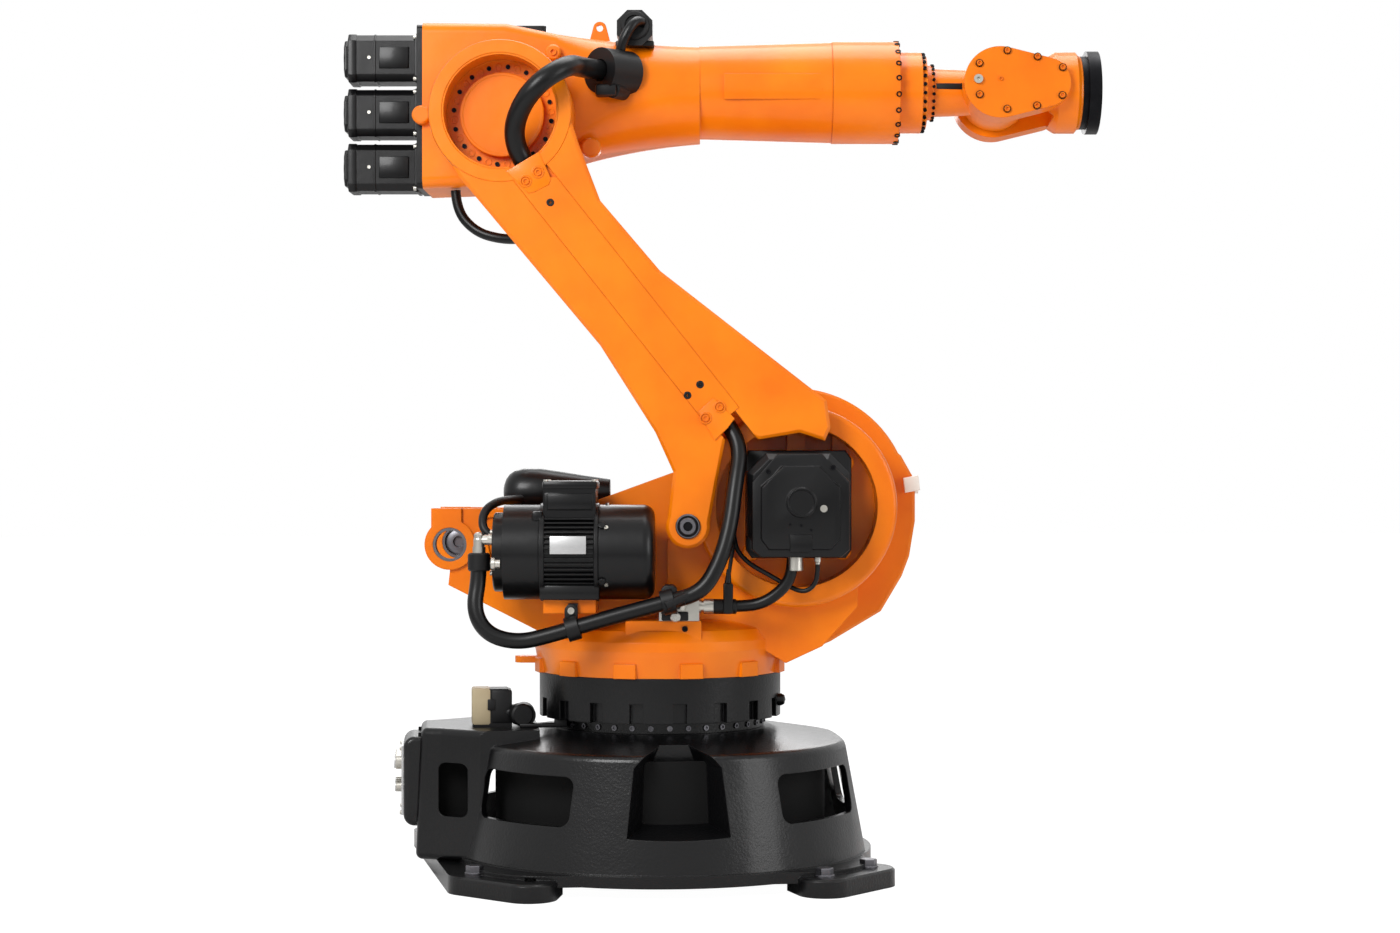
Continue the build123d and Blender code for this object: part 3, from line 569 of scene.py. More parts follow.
ribbed_hose("power_lead_ribbed", "power_lead", lead_route, 15, "column", rib=9)
shoulder_hose = ribbed_hose("shoulder_hose_ribbed", "shoulder_hose", shoulder_route, 20, None)
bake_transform(shoulder_hose)
elbow_hose = ribbed_hose("elbow_hose_ribbed", "elbow_hose", elbow_route, 26, None, rib=11)
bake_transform(elbow_hose)
rear_hose = ribbed_hose("rear_hose_ribbed", "rear_hose", rear_route, 13, None, rib=8)
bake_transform(rear_hose)

# %% [markdown]
# ## Base: dark inside, bolted to the floor
# Through the windows of the base casting one sees only the dark wall of the drive's housing, whose near
# black is painted shade; two dark plates in the cable entry box are painted shade too.
# The feet take M24 bolts with washers; one hole in front is empty. The bolts are turned shapes,
# with six steps for the hexagon.

# %% Drive housing in the base, and floor bolts
# The wall takes the near-black finish: the dark seen through the windows is painted shade.
def drive_housing(bm):
    wall = [(44, 399), (298, 399), (298, 391), (44, 391), (44, 399)]
    turned_shape(bm, (0, 0, 0), UP, wall, steps=72, capped=False)


# Two dark plates inside the cable entry box: painted shade where the box would show through.
def entry_shade_screens(bm):
    box_shape(bm, (-584, -74, 60), (-440, -66, 338), 1)
    box_shape(bm, (-584, 66, 60), (-440, 74, 338), 1)


def floor_bolts(bm):
    for x, y in ((-455, -334), (334, -455), (455, -334), (455, 334), (334, 455), (-334, 455), (-455, 334)):
        turned_shape(bm, (x, y, 42), UP, knob(4, 23), steps=32)
        turned_shape(bm, (x, y, 46), UP, knob(15, 20.5, 2), steps=6)


piece("drive_housing_wall", drive_housing, painted_shade_inside, "base", in_base)
piece("cable_entry_painted_shade_screens", entry_shade_screens, painted_shade_inside, "base", in_base)
piece("floor_bolts", floor_bolts, worn_bolt, "base", in_base)
rim_screws = []
for i in range(36):
    turn = radians(10 * i)
    rim_screws.append(((252 * cos(turn), 252 * sin(turn), 359), (cos(turn), sin(turn), 0), 6.5))
screws("bearing_ring_screws", rim_screws, worn_bolt, "base", in_base)


# %% Sockets, covers and the lead on the base
def socket_caps(bm):
    for y in (-44, 0, 44):
        for z, radius in ((268, 19), (208, 13)):
            turned_shape(bm, (-618, y, z), BACKWARD, [(0, radius), (18, radius), (20, radius - 2), (20, 0)])
    for y, z in ((-66, 148), (66, 148), (-66, 300), (66, 300)):
        turned_shape(bm, (-624, y, z), BACKWARD, knob(4, 5), steps=12)


def housing_cover(bm):
    box_shape(bm, (-457, -98, 356), (-412, -28, 444), 6)


def housing_details(bm):
    box_shape(bm, (-411, -98.5, 360), (-362, -27, 440), 5)
    box_shape(bm, (-420, -101, 392), (-402, -96, 418), 2)
    lead_plug = [(-62, 20), (-20, 20), (-18, 27), (8, 27), (12, 23), (12, 0)]
    turned_shape(bm, (-340, -112, 382), (0.25, -1, 0), lead_plug)
    turned_shape(bm, (-372, -84, 386), (1, -0.35, -0.05), [(0, 15), (44, 15), (46, 13), (46, 0)])
    box_shape(bm, (-345, -128, 352), (-236, -98, 362), 3)
    box_shape(bm, (-262, -130, 352), (-232, -96, 374), 4)


piece("connection_socket_caps", socket_caps, zinc_plate, "base", in_base)
piece("plug_housing_beige_cover", housing_cover, beige_plastic, "base", in_base)
piece("plug_housing_black_half", housing_details, black_plastic, "base", in_base)
screws(
    "base_small_screws",
    [((-594, y, z), BACKWARD, 6) for y in (-84, 84) for z in (140, 225, 312)]
    + [((-330, -113, 362), UP, 5), ((-248, -113, 374), UP, 5)],
    zinc_plate, "base", in_base,
)

# %% [markdown]
# ## Column: the big drive, its cover and its leads
# The shoulder drive sits in the cup behind a stepped cast cover with cut corners. Two plates of
# shrinking outline, each with broken edges, read as that casting. Its leads leave through plated
# glands at the bottom.

# %% Cover of the shoulder drive
drive_front = -318


def drive_cover(bm):
    outer = [(277, 1001), (379, 1001), (392, 985), (443, 936), (443, 779),
             (422, 761), (238, 761), (217, 779), (217, 934), (263, 985)]
    plate_shape(bm, outer, drive_front - 7, drive_front + 30, 4)
    inner = [(286, 973), (374, 973), (390, 948), (420, 925), (420, 803),
             (399, 779), (256, 779), (238, 803), (238, 925), (265, 948)]
    plate_shape(bm, inner, drive_front - 15, drive_front, 4)
    ring = [(-2, 35), (8, 35), (10, 33), (10, 30), (6, 28.5), (6, 0)]
    turned_shape(bm, (331, drive_front - 14, 888), NEAR, ring)
    low = [(304, 814), (355, 814), (355, 773), (304, 773)]
    plate_shape(bm, low, drive_front - 19, drive_front - 8, 2)


def drive_plinth(bm):
    back = [(210, 1009), (440, 1009), (454, 990), (454, 774), (440, 755),
            (219, 755), (205, 774), (205, 994)]
    plate_shape(bm, back, -196, -124, 6)


def drive_lugs(bm):
    for x, z in ((218, 769), (434, 771), (224, 990), (440, 980)):
        turned_shape(bm, (x, -186, z), NEAR, [(-60, 20), (0, 20), (3, 17), (3, 0)])


piece("shoulder_drive_cover", drive_cover, motor_paint, "column")
piece("shoulder_drive_plinth", drive_plinth, motor_paint, "column")
piece("shoulder_drive_lugs", drive_lugs, orange_enamel, "column")
screws(
    "shoulder_drive_screws",
    facing(((254, 959), (404, 969), (254, 810), (411, 810)), -326, 6)
    + facing(((218, 769), (435, 771), (224, 990), (441, 980)), -189, 7)
    + facing(((330, 835), (330, 801), (304, 837), (353, 824)), -334, 3),
    black_oxide, "column",
)
screws("shoulder_drive_plug", facing([(382, 874)], -335, 8.5), zinc_plate, "column")
screws("shoulder_drive_eye", facing([(331, 890)], -325, 8), brass, "column", key=0.3)


# %% [markdown]
# ### Glands, connectors and thin leads
# Thin leads follow their own smooth splines, so the same line reader as for the hoses serves,
# with a plain round tube laid along it.

# %% Glands and connectors on the column
def plated_fittings(bm):
    turned_shape(bm, (318, -282, 772), DOWN, [(-6, 14), (6, 14), (8, 19), (42, 19), (44, 16), (44, 0)], 20)
    turned_shape(bm, (370, -282, 760), DOWN, [(0, 8), (10, 8), (12, 6), (16, 6), (16, 0)], 12)
    ribbed_nut = [
        (-2, 13), (6, 13), (6, 16), (16, 16), (16, 13.5), (22, 13.5), (22, 18), (44, 18), (46, 16), (46, 0),
    ]
    turned_shape(bm, (84, -262, 645), FORWARD, ribbed_nut, 24)
    capped_pipe = [(0, 11), (12, 11), (12, 14), (26, 14), (28, 11), (28, 0)]
    turned_shape(bm, (52, -284, 640), (0.25, -0.1, 1), capped_pipe, 20)
    turned_shape(bm, (40, -290, 622), NEAR, [(-4, 12), (6, 12), (8, 10), (8, 0)], 16)


def black_connectors(bm):
    box_shape(bm, (8, -290, 613), (70, -244, 634), 3)
    turned_shape(bm, (150, -262, 645), FORWARD, [(-22, 17.5), (30, 17.5), (32, 15.5), (32, 0)], 24)
    box_shape(bm, (151, -283, 628), (174, -243, 700), 5)
    turned_shape(bm, (162, -262, 698), (0.06, 0, 1), [(-4, 9), (20, 6), (34, 5), (34, 0)], 16)


piece("column_plated_fittings", plated_fittings, zinc_plate, "column")
piece("column_black_connectors", black_connectors, black_plastic, "column")
screws("column_foot_screw", facing([(62, 594)], -284, 7), black_oxide, "column")


# %% Thin leads by the shoulder drive
def smooth_lead(name, route, radius, body, rib=0.0, finish=black_plastic):
    """A plain or ribbed lead that is held at both ends."""
    depth = 0.08 if rib else 0.0
    return laid_hose(name, hose_line(name, route), radius, rib or radius, depth, finish, body)


smooth_lead("brake_lead", [
    (370, -282, 748), (371, -275, 720), (362, -268, 692), (339, -262, 678), (307, -255, 689),
    (260, -248, 717), (214, -240, 742), (186, -236, 770), (177, -230, 798), (174, -226, 844),
], 5.5, "column")
smooth_lead("sensor_lead", [
    (165, -262, 724), (169, -258, 752), (174, -250, 780), (179, -240, 821), (181, -232, 880),
], 4.5, "column")

# %% [markdown]
# ## The horizontal motor
# It is a finned motor with a terminal box, an end bell and a fan cowl. The fins are one bar
# repeated round the shaft, which is what Geometry Nodes is for: the tree takes the count, the
# ring's radius and the bar's three sizes.

# %% The tree that sets fins round a shaft
def fin_tree():
    tree, given = open_tree(
        "fins_round_a_shaft", ("Fin count", "Int"), ("Ring radius", "Float"), ("Fin height", "Float"),
        ("Fin thickness", "Float"), ("Fin length", "Float"),
    )
    size = add_node(
        tree, "ShaderNodeCombineXYZ",
        {"X": given["Fin height"], "Y": given["Fin thickness"], "Z": given["Fin length"]},
    )
    fin = add_node(tree, "GeometryNodeMeshCube", {"Size": size.outputs["Vector"]})
    ring = add_node(
        tree, "GeometryNodeMeshCircle",
        {"Vertices": given["Fin count"], "Radius": given["Ring radius"]},
    )
    place = add_node(tree, "GeometryNodeInputPosition")
    turn = add_node(
        tree, "FunctionNodeAlignRotationToVector", {"Vector": place.outputs["Position"]}, axis="X",
        pivot_axis="Z",
    )
    fins = add_node(
        tree, "GeometryNodeInstanceOnPoints",
        {"Points": ring.outputs["Mesh"], "Instance": fin.outputs["Mesh"],
         "Rotation": turn.outputs["Rotation"]},
    )
    return end_tree(tree, given, fins.outputs["Instances"])


fins_of = fin_tree()


def fins(name, centre, aim, length, count, radius, height, thick, body):
    """Fins round a shaft that runs along aim; sizes in millimetres."""
    seed = bpy.data.meshes.new(name)
    seed.from_pydata([(0, 0, 0)], [], [])
    values = {
        "Fin count": count, "Ring radius": float(radius), "Fin height": float(height),
        "Fin thickness": float(thick), "Fin length": float(length), "Finish": motor_paint,
    }
    made = grown(name, seed, fins_of, values)
    to_aim = Vector(aim).to_track_quat("Z", "Y").to_matrix().to_4x4()
    made.transform(in_arm @ Matrix.Translation(centre) @ to_aim)
    obj = finish_piece(name, made, None, body)
    print(name, "fins:", count)
    return obj


FAN_Y, FAN_Z = -270, 772
fins("fan_motor_fins", (-203.5, FAN_Y, FAN_Z), FORWARD, 121, 56, 106, 12, 4.2, "column")


# %% Terminal box, blank plate, bell and cowl details
def round_the_fan(x, radius, degrees):
    """A point so far from the motor's shaft, and the way out from the shaft there."""
    t = radians(degrees)
    return (x, FAN_Y - radius * cos(t), FAN_Z + radius * sin(t)), (0, -cos(t), sin(t))


def fan_motor_details(bm):
    box_shape(bm, (-266, -345, 918), (-139, -196, 938), 6)
    box_shape(bm, (-262, -343, 868), (-143, -198, 912), 4)
    box_shape(bm, (-254, -346, 872), (-151, -340, 908), 2)
    step = [(0, 92), (22, 92), (25, 89), (25, 40), (28, 38), (28, 0)]
    turned_shape(bm, (-272, FAN_Y, FAN_Z), FORWARD, [(0, 114), (10, 114), (12, 112), (12, 0)], 64)
    turned_shape(bm, (-137, FAN_Y, FAN_Z), BACKWARD, [(0, 114), (8, 114), (10, 112), (10, 0)], 64)
    turned_shape(bm, (-356, FAN_Y, FAN_Z), BACKWARD, step, 56)
    box_shape(bm, (-272, -352, 664), (-134, -200, 700), 5)
    box_shape(bm, (-288, -352, 846), (-266, -322, 868), 3)
    for degrees in (145, 35, 325, 215):
        turned_shape(bm, *round_the_fan(-128, 104, degrees), knob(12, 9), steps=16)


piece("fan_motor_castings", fan_motor_details, motor_paint, "column")
piece("fan_motor_blank_plate", lambda bm: box_shape(bm, (-246, -390.5, 771), (-163, -387.5, 812), 1.2),
      blank_plate, "column")
fan_screws = [((x, y, 938), UP, 5) for x in (-258, -147) for y in (-337, -204)]
fan_screws += [(*round_the_fan(-118, 111, degrees), 5) for degrees in (-40, 32, 90, 150, 210)]
fan_screws += [(round_the_fan(-384, 66, degrees)[0], BACKWARD, 6) for degrees in (135, 45, 315, 225)]
screws("fan_motor_screws", fan_screws, zinc_plate, "column")


# %% Fittings at the motor's end, its lead sleeve and the small return hose
def end_fittings(bm):
    outlet = [(-12, 15), (2, 15), (2, 12), (12, 12), (12, 9), (34, 9), (34, 0)]
    turned_shape(bm, (-380, -328, 804), (-1, 0, 0.08), outlet, 20)
    elbow = [
        (-14, 0), (-12, 9), (-8, 12), (6, 12), (6, 10), (14, 10), (14, 13), (20, 13), (20, 15), (36, 15),
        (38, 12), (38, 0),
    ]
    turned_shape(bm, (-412, -328, 806), DOWN, elbow, 24)
    blind_plug = [(-14, 11), (-2, 11), (-2, 16), (6, 16), (8, 13), (8, 0)]
    turned_shape(bm, (-375, -360, 748), BACKWARD, blind_plug, 24)


def lead_sleeve(bm):
    sleeve = [(-4, 22), (0, 26), (34, 26), (38, 23), (38, 0)]
    turned_shape(bm, (-412, -328, 768), DOWN, sleeve, 32)


piece("fan_motor_end_fittings", end_fittings, zinc_plate, "column")
piece("fan_motor_lead_sleeve", lead_sleeve, black_plastic, "column")
smooth_lead("accumulator_return_hose", [
    (-330, -120, 893), (-352, -180, 893), (-380, -240, 888), (-404, -280, 868), (-408, -300, 838),
    (-396, -310, 816), (-380, -310, 808),
], 10, "column", rib=6)


# %% Clips on the motor hose
def hose_clips(bm):
    for x, z, lean in ((-195, 599.5, 73.3), (24, 660.5, 75)):
        aim = (sin(radians(lean)), 0, cos(radians(lean)))
        band = [(-15, 27), (-14, 28.5), (14, 28.5), (15, 27)]
        turned_shape(bm, (x, -352, z), aim, [(-15, 21.5), *band, (15, 21.5), (-15, 21.5)], 40, capped=False)
    plate_shape(bm, arc(-199, 640, 15, 0, 180, 12) + [(-214, 600), (-184, 600)], -352, -331, 2)
    plate_shape(bm, [(8, 632), (44, 632), (44, 690), (36, 698), (16, 698), (8, 690)], -350, -286, 3)


piece("hose_clip_bands", hose_clips, black_plastic, "column")
screws("hose_clip_screws", facing([(-199, 640)], -353, 8), zinc_plate, "column")


# %% Bushes in the ears, the balance cylinder's ends and small parts of the column
def ear_bushes(bm):
    for y0, y1 in ((-158, -126), (68, 100)):
        ring = [(0, 39.6), (y1 - y0, 39.6), (y1 - y0, 34), (0, 34), (0, 39.6)]
        turned_shape(bm, (-496, y0, 786), FAR, ring, 48, capped=False)
    turned_shape(bm, (-496, 96, 786), NEAR, [(0, 33), (20, 33), (24, 24), (24, 14), (14, 12), (14, 0)], 32)


def column_trim(bm):
    turned_shape(bm, (274, -60, 411), (1, -0.15, 0), [(0, 15), (18, 15), (26, 11), (29, 0)], 28)
    cylinder_end = [(-10, 52), (4, 52), (8, 48), (8, 26), (14, 24), (14, 0)]
    turned_shape(bm, (-452, -30, 786), BACKWARD, cylinder_end, 40)
    turned_shape(bm, (-375, -30, 910), BACKWARD, [(-4, 14), (1, 14), (2, 12), (2, 0)], 24)


def gas_vessel(bm):
    """The vessel on the balance cylinder, slimmer and lower than its solid."""
    belly = [
        (0, 0), (1, 18), (6, 32), (14, 43), (26, 52), (48, 58), (90, 58), (130, 52), (190, 42), (257, 32),
        (257, 0),
    ]
    turned_shape(bm, (-377, -30, 909), FORWARD, belly, 64)
    turned_shape(bm, (-280, -30, 850.5), UP, [(0, 24), (30, 24), (30, 0)], 32)


def bumper_block(bm):
    plate_shape(bm, [(590, 943), (627, 950), (631, 914), (594, 907)], -14, 24, 3)


vessel = piece("gas_vessel_of_the_balance_cylinder", gas_vessel, motor_paint, "column")
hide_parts("accumulator")
piece("ear_bushes", ear_bushes, worn_bolt, "column")
piece("stop_bumper_block", bumper_block, white_plastic, "column")
piece("column_black_trim", column_trim, motor_paint, "column")

# %% [markdown]
# ## Link arm: cover pads, plugs and the pivot pin
# The long cover has a raised pad at each end, held by two screws that sit in counterbores, and
# black rubber plugs close the threaded holes beside them.

# %% Pads and plugs on the link arm
pad_screws = ((-307, 1632), (-278, 1653), (110, 1083), (143, 1109))


def cover_pads(bm):
    top = [(-353, 1655), (-276, 1701), (-248, 1638), (-253, 1624), (-288, 1606), (-302, 1604)]
    low = [(92, 1098), (129, 1131), (178, 1082), (160, 1059), (132, 1031)]
    plate_shape(bm, top, -293.5, -288, 1.5)
    plate_shape(bm, low, -293.5, -288, 1.5)
    for x, z in pad_screws:
        ring = [(0, 14), (2.5, 14), (3.5, 13), (3.5, 10.5), (0, 10.5), (0, 14)]
        turned_shape(bm, (x, -292.5, z), NEAR, ring, 28, capped=False)


def rubber_plugs(bm):
    dimpled = [(-4, 9), (1.5, 9), (2.5, 7.5), (2.5, 4), (0.5, 3), (0.5, 0)]
    for x, z in ((-250, 1583), (97, 1161), (68, 1136)):
        turned_shape(bm, (x, -291, z), NEAR, dimpled, 24)


def pivot_cap(bm):
    turned_shape(bm, (69, -291, 832), NEAR, [(-5, 29), (3, 29), (5, 27), (5, 25), (1, 24), (1, 0)], 48)
    turned_shape(bm, (69, -292, 832), NEAR, [(0, 20), (7, 20), (9, 18), (9, 11), (3, 10), (3, 0)], 36)


piece("arm_cover_pads", cover_pads, orange_enamel, "link")
piece("arm_rubber_plugs", rubber_plugs, black_plastic, "link")
piece("pivot_pin_cap", pivot_cap, worn_bolt, "link")
screws("arm_pad_screws", facing(pad_screws, -292, 8), orange_enamel, "link")

# %% Screw circle and cover of the elbow
elbow_floor = -202.5
# The first row is dark discs under the orange heads: painted shade in the counterbore round each screw.
for name, radius, sink, head, start, finish, key in (
    ("elbow_counterbore_painted_shade", 114, 14.6, 13.5, 5, black_oxide, 0.9),
    ("elbow_screw_circle", 114, 5, 9.5, 5, orange_enamel, 0.5),
    ("elbow_small_screws", 115, 0, 5.5, 16.2, black_oxide, 0.58),
):
    circle = ring_of_screws(ELBOW, radius, elbow_floor + sink, 16, head, start)
    screws(name, circle, finish, "link", key=key)


def elbow_trim(bm):
    x, z = ELBOW
    face = [(-4, 99), (1.5, 99), (3, 97.5), (3, 92), (2, 91), (2, 0)]
    turned_shape(bm, (x, elbow_floor - 19, z), NEAR, face, 72)
    lip = [(0, 166), (2.5, 164), (2.5, 136), (0, 134), (0, 166)]
    turned_shape(bm, (x, -289.5, z), NEAR, lip, 96, capped=False)


def elbow_lobes(bm):
    for x, z, radius in ((-565, 1806, 22), (-162, 1728, 24), (-252, 1954, 19)):
        turned_shape(bm, (x, -128, z), NEAR, [(-10, radius), (20, radius), (24, radius - 4), (24, 0)], 32)


piece("elbow_cover_face", elbow_trim, orange_enamel, "link")
piece("forearm_stop_lobes", elbow_lobes, orange_enamel, "forearm")
screws("forearm_lobe_screws", facing([(-252, 1954)], -152, 9), orange_enamel, "forearm")

# %% [markdown]
# ## Forearm: three drives on a black plate, box, lug and hose clamp
# The drives are square motors with cut corners. Each gets a front flange, a seam band, a stepped
# end cap and fixing screws, all drawn once and repeated down the column of three.

# %% Drives at the back of the forearm
motor_rows = (FOREARM_Z + 78, FOREARM_Z - 54, FOREARM_Z - 186)


def octagon(y, z, half, cut):
    return [
        (y - half + cut, z - half), (y + half - cut, z - half), (y + half, z - half + cut),
        (y + half, z + half - cut), (y + half - cut, z + half), (y - half + cut, z + half),
        (y - half, z + half - cut), (y - half, z - half + cut),
    ]


def across_plate(bm, corners, x0, x1, edge):
    """A plate whose outline is drawn in y and z, between two x faces."""
    start = len(bm.verts)
    plate_shape(bm, corners, x0, x1, edge)
    bm.verts.ensure_lookup_table()
    for vert in bm.verts[start:]:
        vert.co = (vert.co.y, vert.co.x, vert.co.z)


def drive_parts(bm):
    for z in motor_rows:
        across_plate(bm, octagon(0, z, 59, 15), -590, -581.5, 2)
        across_plate(bm, octagon(0, z, 57.5, 17), -689, -684, 1)
        across_plate(bm, octagon(0, z, 58, 17), -752, -730, 3)
        across_plate(bm, octagon(0, z, 44, 16), -763, -751, 4)
        box_shape(bm, (-676, -60.5, z - 26), (-604, -55, z + 26), 2)


piece("wrist_drive_parts", drive_parts, motor_paint, "forearm")
drive_screws = []
for z in motor_rows:
    for y in (-50, 50):
        for dz in (-50, 50):
            drive_screws.append(((-590, y, z + dz), BACKWARD, 6))
    drive_screws.append(((-700, -57, z), NEAR, 4))
screws("wrist_drive_screws", drive_screws, zinc_plate, "forearm")


# %% Lines, box, lug and clamp on the forearm
def gland_clamp(bm):
    aim = (-0.7, -0.714, 0)
    at = (-104.1, -134, 1908.1)
    rings = [(6, 44), (8, 54), (20, 54), (23, 50), (23, 31), (12, 29), (12, 0)]
    turned_shape(bm, at, aim, [(0, 44), *rings], 48)
    box_shape(bm, (-150, -196, 1846), (-100, -150, 1872), 6)
    turned_shape(bm, (-96, -150, 1862), (-0.5, -0.86, 0), [(-20, 20), (26, 20), (30, 16), (30, 0)], 32)


def box_face(bm):
    x, z = -59.1, 2018.1
    ring = [(0, 34), (4, 34), (6, 31), (6, 24), (-8, 22), (-8, 34), (0, 34)]
    turned_shape(bm, (x, -112, z + 6), NEAR, ring, 40, capped=False)
    box_shape(bm, (x - 46, -100, 1976), (x + 46, -40, 1990), 4)


piece("elbow_hose_clamp", gland_clamp, black_plastic, "forearm")
piece("cable_box_face", box_face, black_plastic, "forearm")
smooth_lead("cable_box_loop", [
    (-96, -128, 1950), (-88, -138, 1978), (-74, -142, 2006), (-60, -138, 2026), (-46, -124, 2034),
    (-40, -108, 2030),
], 12, "forearm", finish=motor_paint)


# %% Bare panel and raised frame on the tube
def bent_panel(bm, x0, x1, half_turn, radius, thick):
    """A thin plate bent round the forearm's tube, facing the near side."""
    steps = 24
    rows = []
    for i in range(steps + 1):
        a = radians(-half_turn + 2 * half_turn * i / steps)
        for r in (radius, radius + thick):
            rows.append([(x, -r * cos(a), FOREARM_Z + r * sin(a)) for x in (x0, x1)])
    grid = [[bm.verts.new(p) for p in row] for row in rows]
    for i in range(steps):
        a, b, c, d = grid[2 * i], grid[2 * i + 1], grid[2 * i + 2], grid[2 * i + 3]
        for quad in (
            (a[0], a[1], c[1], c[0]), (b[0], d[0], d[1], b[1]), (a[0], c[0], d[0], b[0]),
            (a[1], b[1], d[1], c[1]),
        ):
            bm.faces.new(quad)
    for a, b in ((grid[0], grid[1]), (grid[-2], grid[-1])):
        bm.faces.new((a[0], b[0], b[1], a[1]))


def tube_relief(bm):
    bent_panel(bm, 462, 532, 47, 119.6, 1.4)


def panel_frame(bm):
    bent_panel(bm, 154, 390, 15, 118.5, 1.6)


piece("wrist_drum_relief", tube_relief, orange_enamel, "forearm")
piece("forearm_bare_panel", panel_frame, orange_enamel, "forearm")

# %% [markdown]
# ## Wrist: covers, screws and rings
# The wrist rolls with its fourth axis, so everything on it is drawn in the rolled plane. Its
# covers are held by screws that sit in counterbores; the shade in a counterbore is painted as a
# dark ring round the head.

# %% Screws and seams of the wrist
cheek_screws = (
    (764, 1923), (831, 1954), (903, 1939), (963, 1913), (961, 1845), (900, 1820), (829, 1812), (764, 1847),
)
cheek_y = -121.5
# The first row is dark rings under the orange heads: painted shade in each counterbore.
for name, points, sink, head, finish, slot, key in (
    ("wrist_cheek_bore_painted_shade", cheek_screws, 8, 9.5, black_oxide, "orange", 0.9),
    ("wrist_cheek_screws", cheek_screws, 3, 6.8, orange_enamel, "orange", 0.58),
    ("wrist_oil_plug", [(761, 1884)], 4, 11, zinc_plate, "steel", 0.4),
    ("wrist_centre_mark", [(815, 1886)], 5, 5, orange_enamel, "orange", 0.58),
):
    screws(name, facing(points, cheek_y + sink, head), finish, "hand", in_wrist, key)


def round_the_forearm(x, radius, count, head, start=0.0):
    """Screws round the forearm's axis, aimed outwards."""
    turns = [radians(start + 360 * i / count) for i in range(count)]
    return [((x, radius * cos(t), FOREARM_Z + radius * sin(t)), (0, cos(t), sin(t)), head) for t in turns]


for name, places, finish, body, slot, plane in (
    ("wrist_drum_edge_screws", (WRIST_X - 243, 121, 20, 7, 9), black_oxide, "forearm", "machined_black",
     in_arm),
    ("wrist_step_ring_screws", (WRIST_X - 178, 94, 28, 4.5), black_oxide, "wrist", "orange", in_wrist),
    ("wrist_neck_ring_screws", (WRIST_X - 155, 67, 24, 4), black_oxide, "wrist", "orange", in_wrist),
    ("tool_flange_rim_screws", (WRIST_X + 204, 83, 24, 4.2, 7), orange_enamel, "hand", "orange", in_wrist),
):
    screws(name, round_the_forearm(*places), finish, body, plane)


def neck_slot(bm):
    box_shape(bm, (665, -58, 1874), (733, -50, 1889), 2)


def flange_rings(bm):
    face = [(-8, 62), (0.8, 62), (1.6, 61), (1.6, 52), (-2, 51), (-2, 40), (-8, 40), (-8, 62)]
    rim = [(-5, 87), (-5, 90.8), (5, 90.8), (5, 87), (-5, 87)]
    turned_shape(bm, (WRIST_X + 245, 0, FOREARM_Z), FORWARD, face, 72, capped=False)
    turned_shape(bm, (WRIST_X + 228, 0, FOREARM_Z), FORWARD, rim, 96, capped=False)


piece("wrist_neck_slot", neck_slot, black_plastic, "wrist", in_wrist)
piece("tool_flange_rings", flange_rings, turned_steel, "flange", in_wrist)

# %% Second lines beside the main hoses
smooth_lead("shoulder_line_low", [
    (18, -376, 652), (62, -362, 672), (106, -348, 690), (140, -330, 735), (158, -300, 770), (168, -270, 800),
], 11, "column", rib=8)

# %% [markdown]
# ## Camera, light and floor
# The camera stands 6.3 m off, level with the middle of the arm, with a lens a little longer than
# normal, so that the castings keep their true proportions. The studio is white: one large lamp
# from the upper left, a weaker one from the right and one above, at a level where paint shows its
# own colour. The floor is white to the camera and still takes the arm's shadow.

# %% Camera
camera_data = bpy.data.cameras.new("camera")
camera_data.lens = 66.86
camera_data.sensor_width = 36
camera = new_object("camera", camera_data)
camera.location = in_row((97, -6318, 971))
camera.rotation_euler = (radians(90), 0, radians(TURNTABLE))
bpy.context.scene.camera = camera


# %% Lamps and world
def soft_lamp(name, place, look_at, size, watts):
    data = bpy.data.lights.new(name, "AREA")
    data.shape = "RECTANGLE"
    data.size, data.size_y = size
    data.energy = watts
    lamp = new_object(name, data)
    lamp.location = place
    lamp.rotation_euler = (Vector(look_at) - Vector(place)).to_track_quat("-Z", "Y").to_euler()


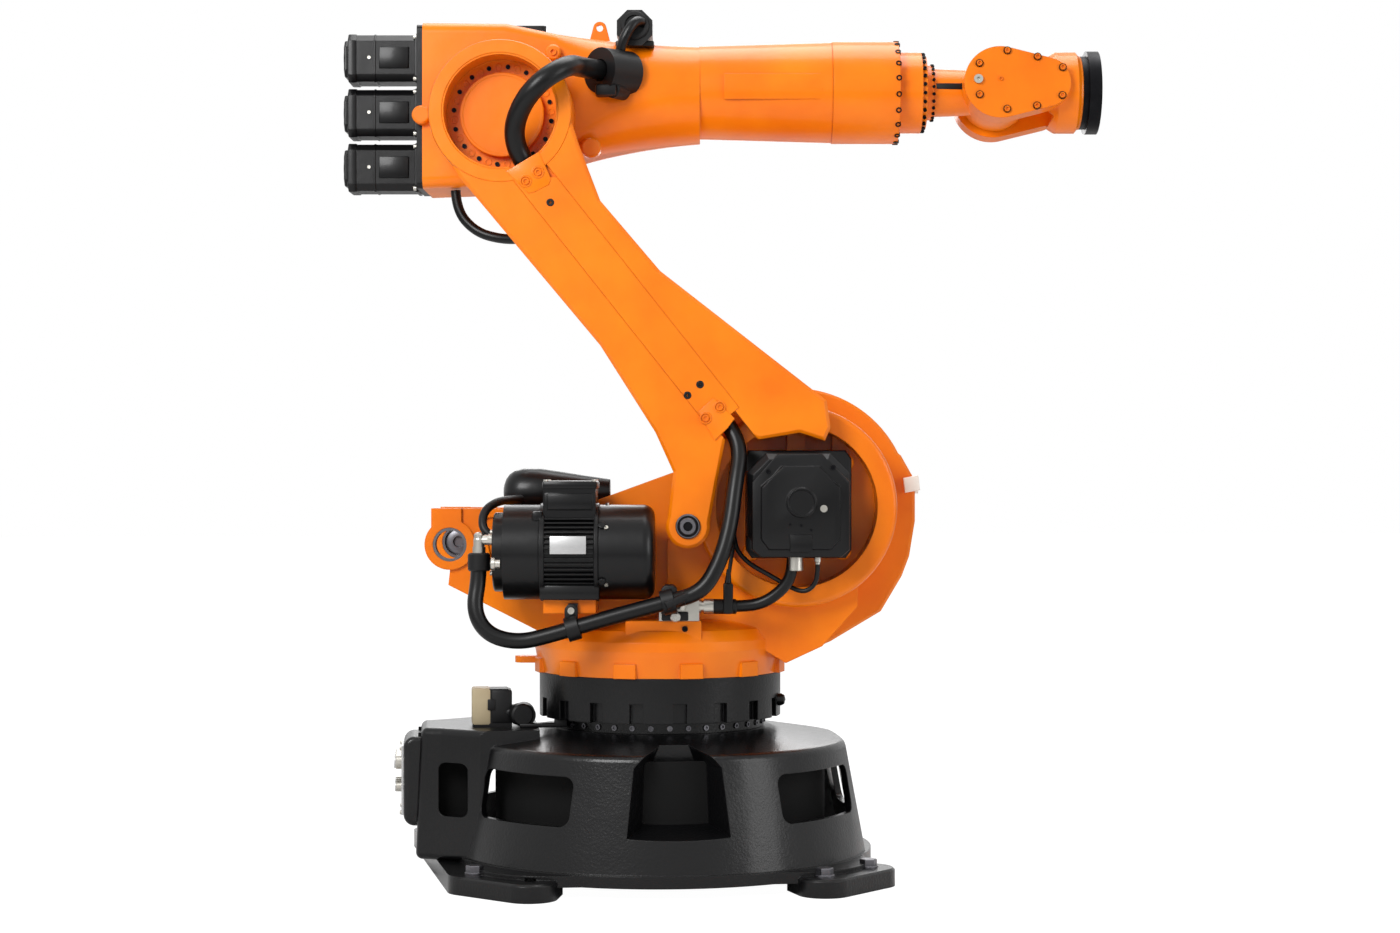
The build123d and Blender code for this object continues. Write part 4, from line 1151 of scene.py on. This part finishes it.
soft_lamp("key_lamp", (-2.6, -3.6, 3.4), (0, 0, 1.2), (2.0, 2.0), 205)
soft_lamp("fill_lamp", (3.8, -3.0, 1.9), (0.2, 0, 1.0), (1.6, 2.6), 60)
soft_lamp("top_lamp", (0.3, 0.6, 4.6), (0, 0, 1.0), (3.0, 2.4), 110)
soft_lamp("back_lamp", (0.5, 4.2, 2.6), (0, 0, 1.2), (3.0, 2.0), 60)

world = bpy.data.worlds.new("studio")
world.use_nodes = True
bpy.context.scene.world = world
sky = world.node_tree
ray = add_node(sky, "ShaderNodeLightPath").outputs
seen = reckon(sky, "MAXIMUM", ray["Is Camera Ray"], ray["Is Transmission Ray"])
mirrored = reckon(sky, "MAXIMUM", seen, ray["Is Glossy Ray"])
level = add_node(sky, "ShaderNodeMapRange", {"Value": mirrored, "To Min": 0.24, "To Max": 1.0})
backdrop = sky.nodes["Background"]
backdrop.inputs["Color"].default_value = (1, 1, 1, 1)
sky.links.new(level.outputs["Result"], backdrop.inputs["Strength"])
bpy.context.scene.view_settings.view_transform = "Standard"

# %% Floor
floor_mesh = bpy.data.meshes.new("floor")
floor_corners = [(-30, -30, -0.001), (30, -30, -0.001), (30, 30, -0.001), (-30, 30, -0.001)]
floor_mesh.from_pydata(floor_corners, [], [(0, 1, 2, 3)])
floor = new_object("floor", floor_mesh)
floor_paint = bpy.data.materials.new("white_studio_floor")
floor_paint.use_nodes = True
tree = floor_paint.node_tree
floor_shader = tree.nodes["Principled BSDF"]
floor_shader.inputs["Base Color"].default_value = (0.9, 0.9, 0.9, 1)
floor_shader.inputs["Roughness"].default_value = 0.9
floor_ray = add_node(tree, "ShaderNodeLightPath")
share = reckon(tree, "MULTIPLY", floor_ray.outputs["Is Camera Ray"], 0.82)
white = add_node(tree, "ShaderNodeEmission", {"Color": (1, 1, 1, 1), "Strength": 1.2})
blend = add_node(
    tree, "ShaderNodeMixShader",
    {0: share, 1: floor_shader.outputs["BSDF"], 2: white.outputs["Emission"]},
)
tree.links.new(blend.outputs[0], tree.nodes["Material Output"].inputs["Surface"])
floor_mesh.materials.append(floor_paint)
